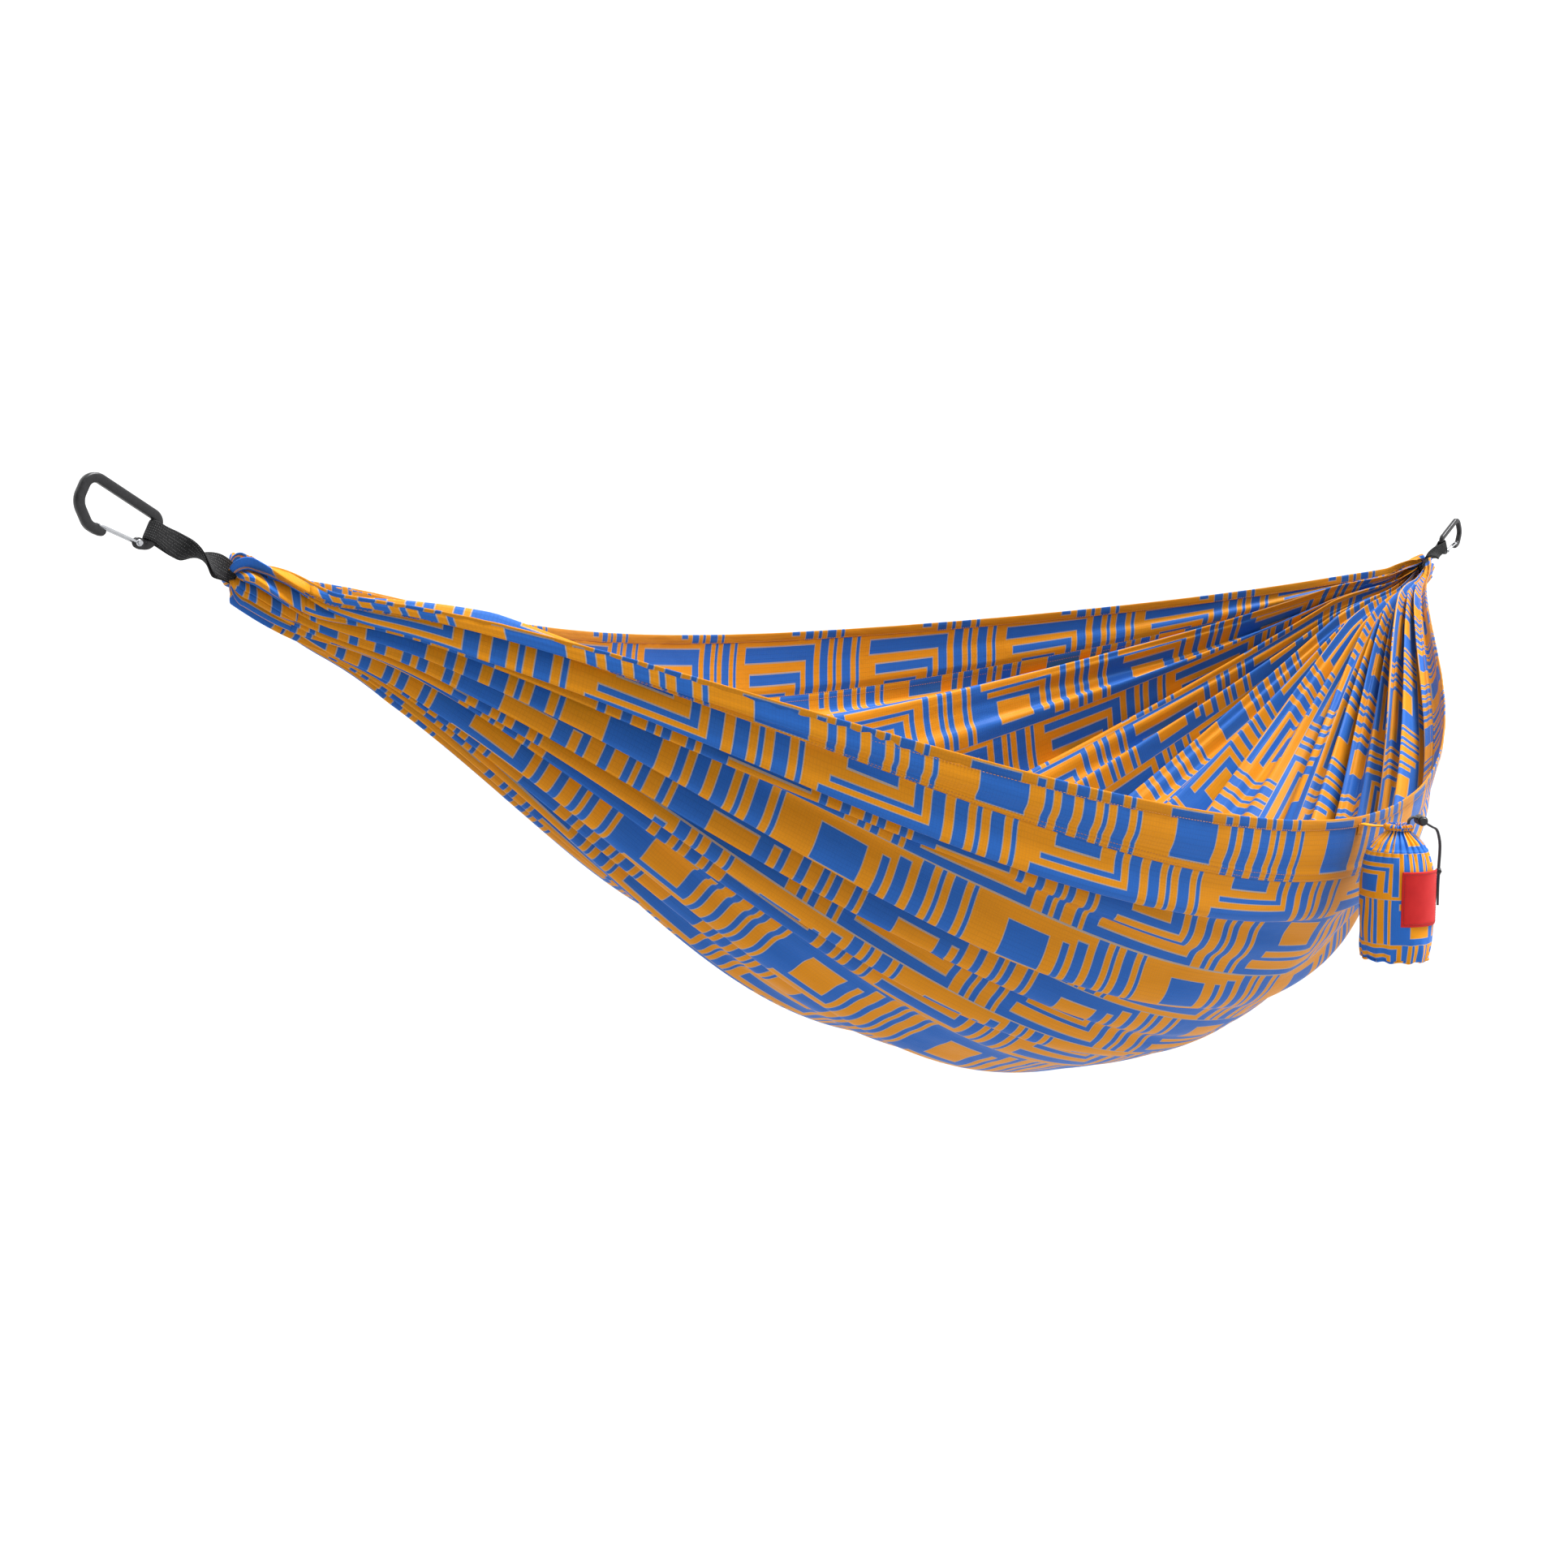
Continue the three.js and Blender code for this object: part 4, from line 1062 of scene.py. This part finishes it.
def make_sack_base():
    """The round base, bowed a little, with the seam's raised edge round it."""
    r = np.concatenate([np.linspace(0.0, 0.035, 16), [0.0370, 0.0384, 0.0388, 0.0380]])
    drop = np.concatenate([-0.1618 + 0.0008 * (r[:16] / 0.035) ** 2, [-0.1613, -0.1604, -0.1594, -0.1588]])
    a = np.linspace(0, math.tau, 145)
    rr, aa = np.meshgrid(r, a, indexing="ij")
    out, down = foot_waves(aa)
    edge = smoothstep(0.02, 0.037, rr)
    rr = rr + edge * out
    zz = drop[:, None] + edge * down
    uv = (rr * np.cos(aa) + 0.12, rr * np.sin(aa) + 0.05)
    sack_piece("sack_bottom", rr, aa, zz, uv, "sack_base", SACK_CLOTH)


def make_casing():
    """The casing round the mouth, gathered on its cord into small puffs."""
    a = np.linspace(0, math.tau, 433)
    ruffle = np.sin(SACK_GATHERS * a + 0.8 * np.sin(3 * a)) + 0.35 * np.sin(1.5 * SACK_GATHERS * a + 1.0)
    around = np.linspace(0, math.tau, 25)
    aa, bb = np.meshgrid(a, around, indexing="ij")
    swell = ruffle[:, None] * (0.55 + 0.45 * np.cos(bb - 0.9))
    radius = MOUTH_RADIUS + 0.0012 + (0.0034 + 0.0016 * swell) * np.cos(bb)
    z = -CASING_RADIUS - 0.0004 + (0.0038 + 0.0009 * swell) * np.sin(bb)
    uv = (aa * SACK_RADIUS + 0.035, 0.30 + 0.004 * bb)
    sack_piece("mouth_casing", radius, aa, z, uv, "sack_casing")


def label_grid(inset, lift, count=25):
    """A patch that follows the sack's side; inset shrinks it from its edge."""
    half = LABEL_WIDTH / 2 - inset
    down = np.linspace(inset, LABEL_HEIGHT - inset, count)
    x, y = np.meshgrid(np.linspace(-half, half, count), down, indexing="ij")
    radius = SACK_RADIUS + 0.0009 + lift
    a = LABEL_AZIMUTH + x / SACK_RADIUS
    points = in_sack(np.stack([radius * np.cos(a), radius * np.sin(a), -LABEL_TOP - y], -1))
    return points, np.stack([x, y], -1)


def make_label():
    points, uv = label_grid(0.0, 0.0, 49)
    x, y = np.moveaxis(uv, -1, 0)
    from_edge = np.minimum(LABEL_WIDTH / 2 - np.abs(x), np.minimum(y, LABEL_HEIGHT - y))
    a = LABEL_AZIMUTH + x / SACK_RADIUS
    out = np.stack([np.cos(a), np.sin(a), np.zeros_like(a)], -1)
    groove = smoothstep(0.0012, 0.0, np.abs(from_edge - LABEL_SEAM))
    puff = 0.0005 * smoothstep(0.0, 0.0012, from_edge) - 0.0004 * groove
    patch = cloth_piece("red_patch", points + out * puff[..., None], uv, 0.0009)
    finish_piece(patch, twill_look, "sack", "label_twill", "sack_label")
    ring, _ = label_grid(LABEL_SEAM, 0.0009)
    edge = np.concatenate([ring[0, :-1], ring[:-1, -1], ring[-1, :0:-1], ring[:0:-1, 0], ring[:1, 0]])
    normals = unit((edge - np.array([SACK_CENTRE.x, SACK_CENTRE.y, 0.0])) * np.array([1.0, 1.0, 0.0]))
    seam = stitches("patch_stitching", [edge], [normals], 0.0022, 0.0031, 0.00035)
    finish_piece(seam, red_thread, "sack", "label_twill")


def make_tab():
    """The folded tab from the hammock's hem to the casing."""
    low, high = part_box("sack_tab")
    y = np.linspace(high.y - 0.0005, low.y + 0.0005, 24)
    sag = -0.0010 * np.sin(np.linspace(0, math.pi, 24))
    x = (low.x + high.x) / 2
    path = np.stack([np.full(24, x), y, (low.z + high.z) / 2 + sag], -1)
    section = rounded_section(0.0060, 0.0010, 20, 0.5)
    piece = swept_piece("hem_tab", rings_along(path, X_WAY, Z_WAY, section))
    finish_piece(piece, sack_cloth, "sack", "sack_cloth", "sack_tab")


wobble = rng.uniform(0, math.tau, 8)
make_sack_body()
make_sack_base()
make_casing()
make_label()
make_tab()
dress("cord_lock_barrel", plastic_look)
dress("cord_lock_plunger", plastic_look)
dress("cord_lock_spring", steel_look)


# ---- Floor, light and backdrop ----

def make_world():
    """A studio, white behind the object and overhead, and dimmer behind the camera."""
    world = bpy.data.worlds.new("studio")
    world.use_nodes = True
    n = Nodes(world.node_tree)
    place = n.texture("Generated")
    facing = n.add("ShaderNodeVectorMath", operation="DOT_PRODUCT")
    facing.inputs[1].default_value = BRIGHT_SIDE
    n.link(place, facing.inputs[0])
    level = n.spread(facing.outputs["Value"], SHADE, GLOW, -0.45, 0.35, "SMOOTHSTEP")
    horizon = n.spread(n.split(place)[2], HORIZON_GLOW, 0.0, 0.0, 0.22, "SMOOTHSTEP")
    background = n.tree.nodes["Background"]
    background.inputs["Color"].default_value = (1.0, 1.0, 1.0, 1.0)
    n.link(n.math("MAXIMUM", level, horizon), background.inputs["Strength"])
    bpy.context.scene.world = world


def make_stage():
    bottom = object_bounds()[0][2]
    bpy.ops.mesh.primitive_plane_add(size=FLOOR_SIZE, location=(MIDDLE_X, 0, bottom - FLOOR_BELOW))
    floor = bpy.context.object
    floor.name = "floor"
    floor.data.materials.append(floor_material())
    make_world()
    data = bpy.data.lights.new("key", "SUN")
    data.energy = SUN_POWER
    data.angle = SUN_ANGLE
    key = add_object("key", data)
    key.rotation_euler = Vector(SUN_TRAVEL).to_track_quat("-Z", "Y").to_euler()
    bpy.context.scene.view_settings.view_transform = "Standard"


make_stage()
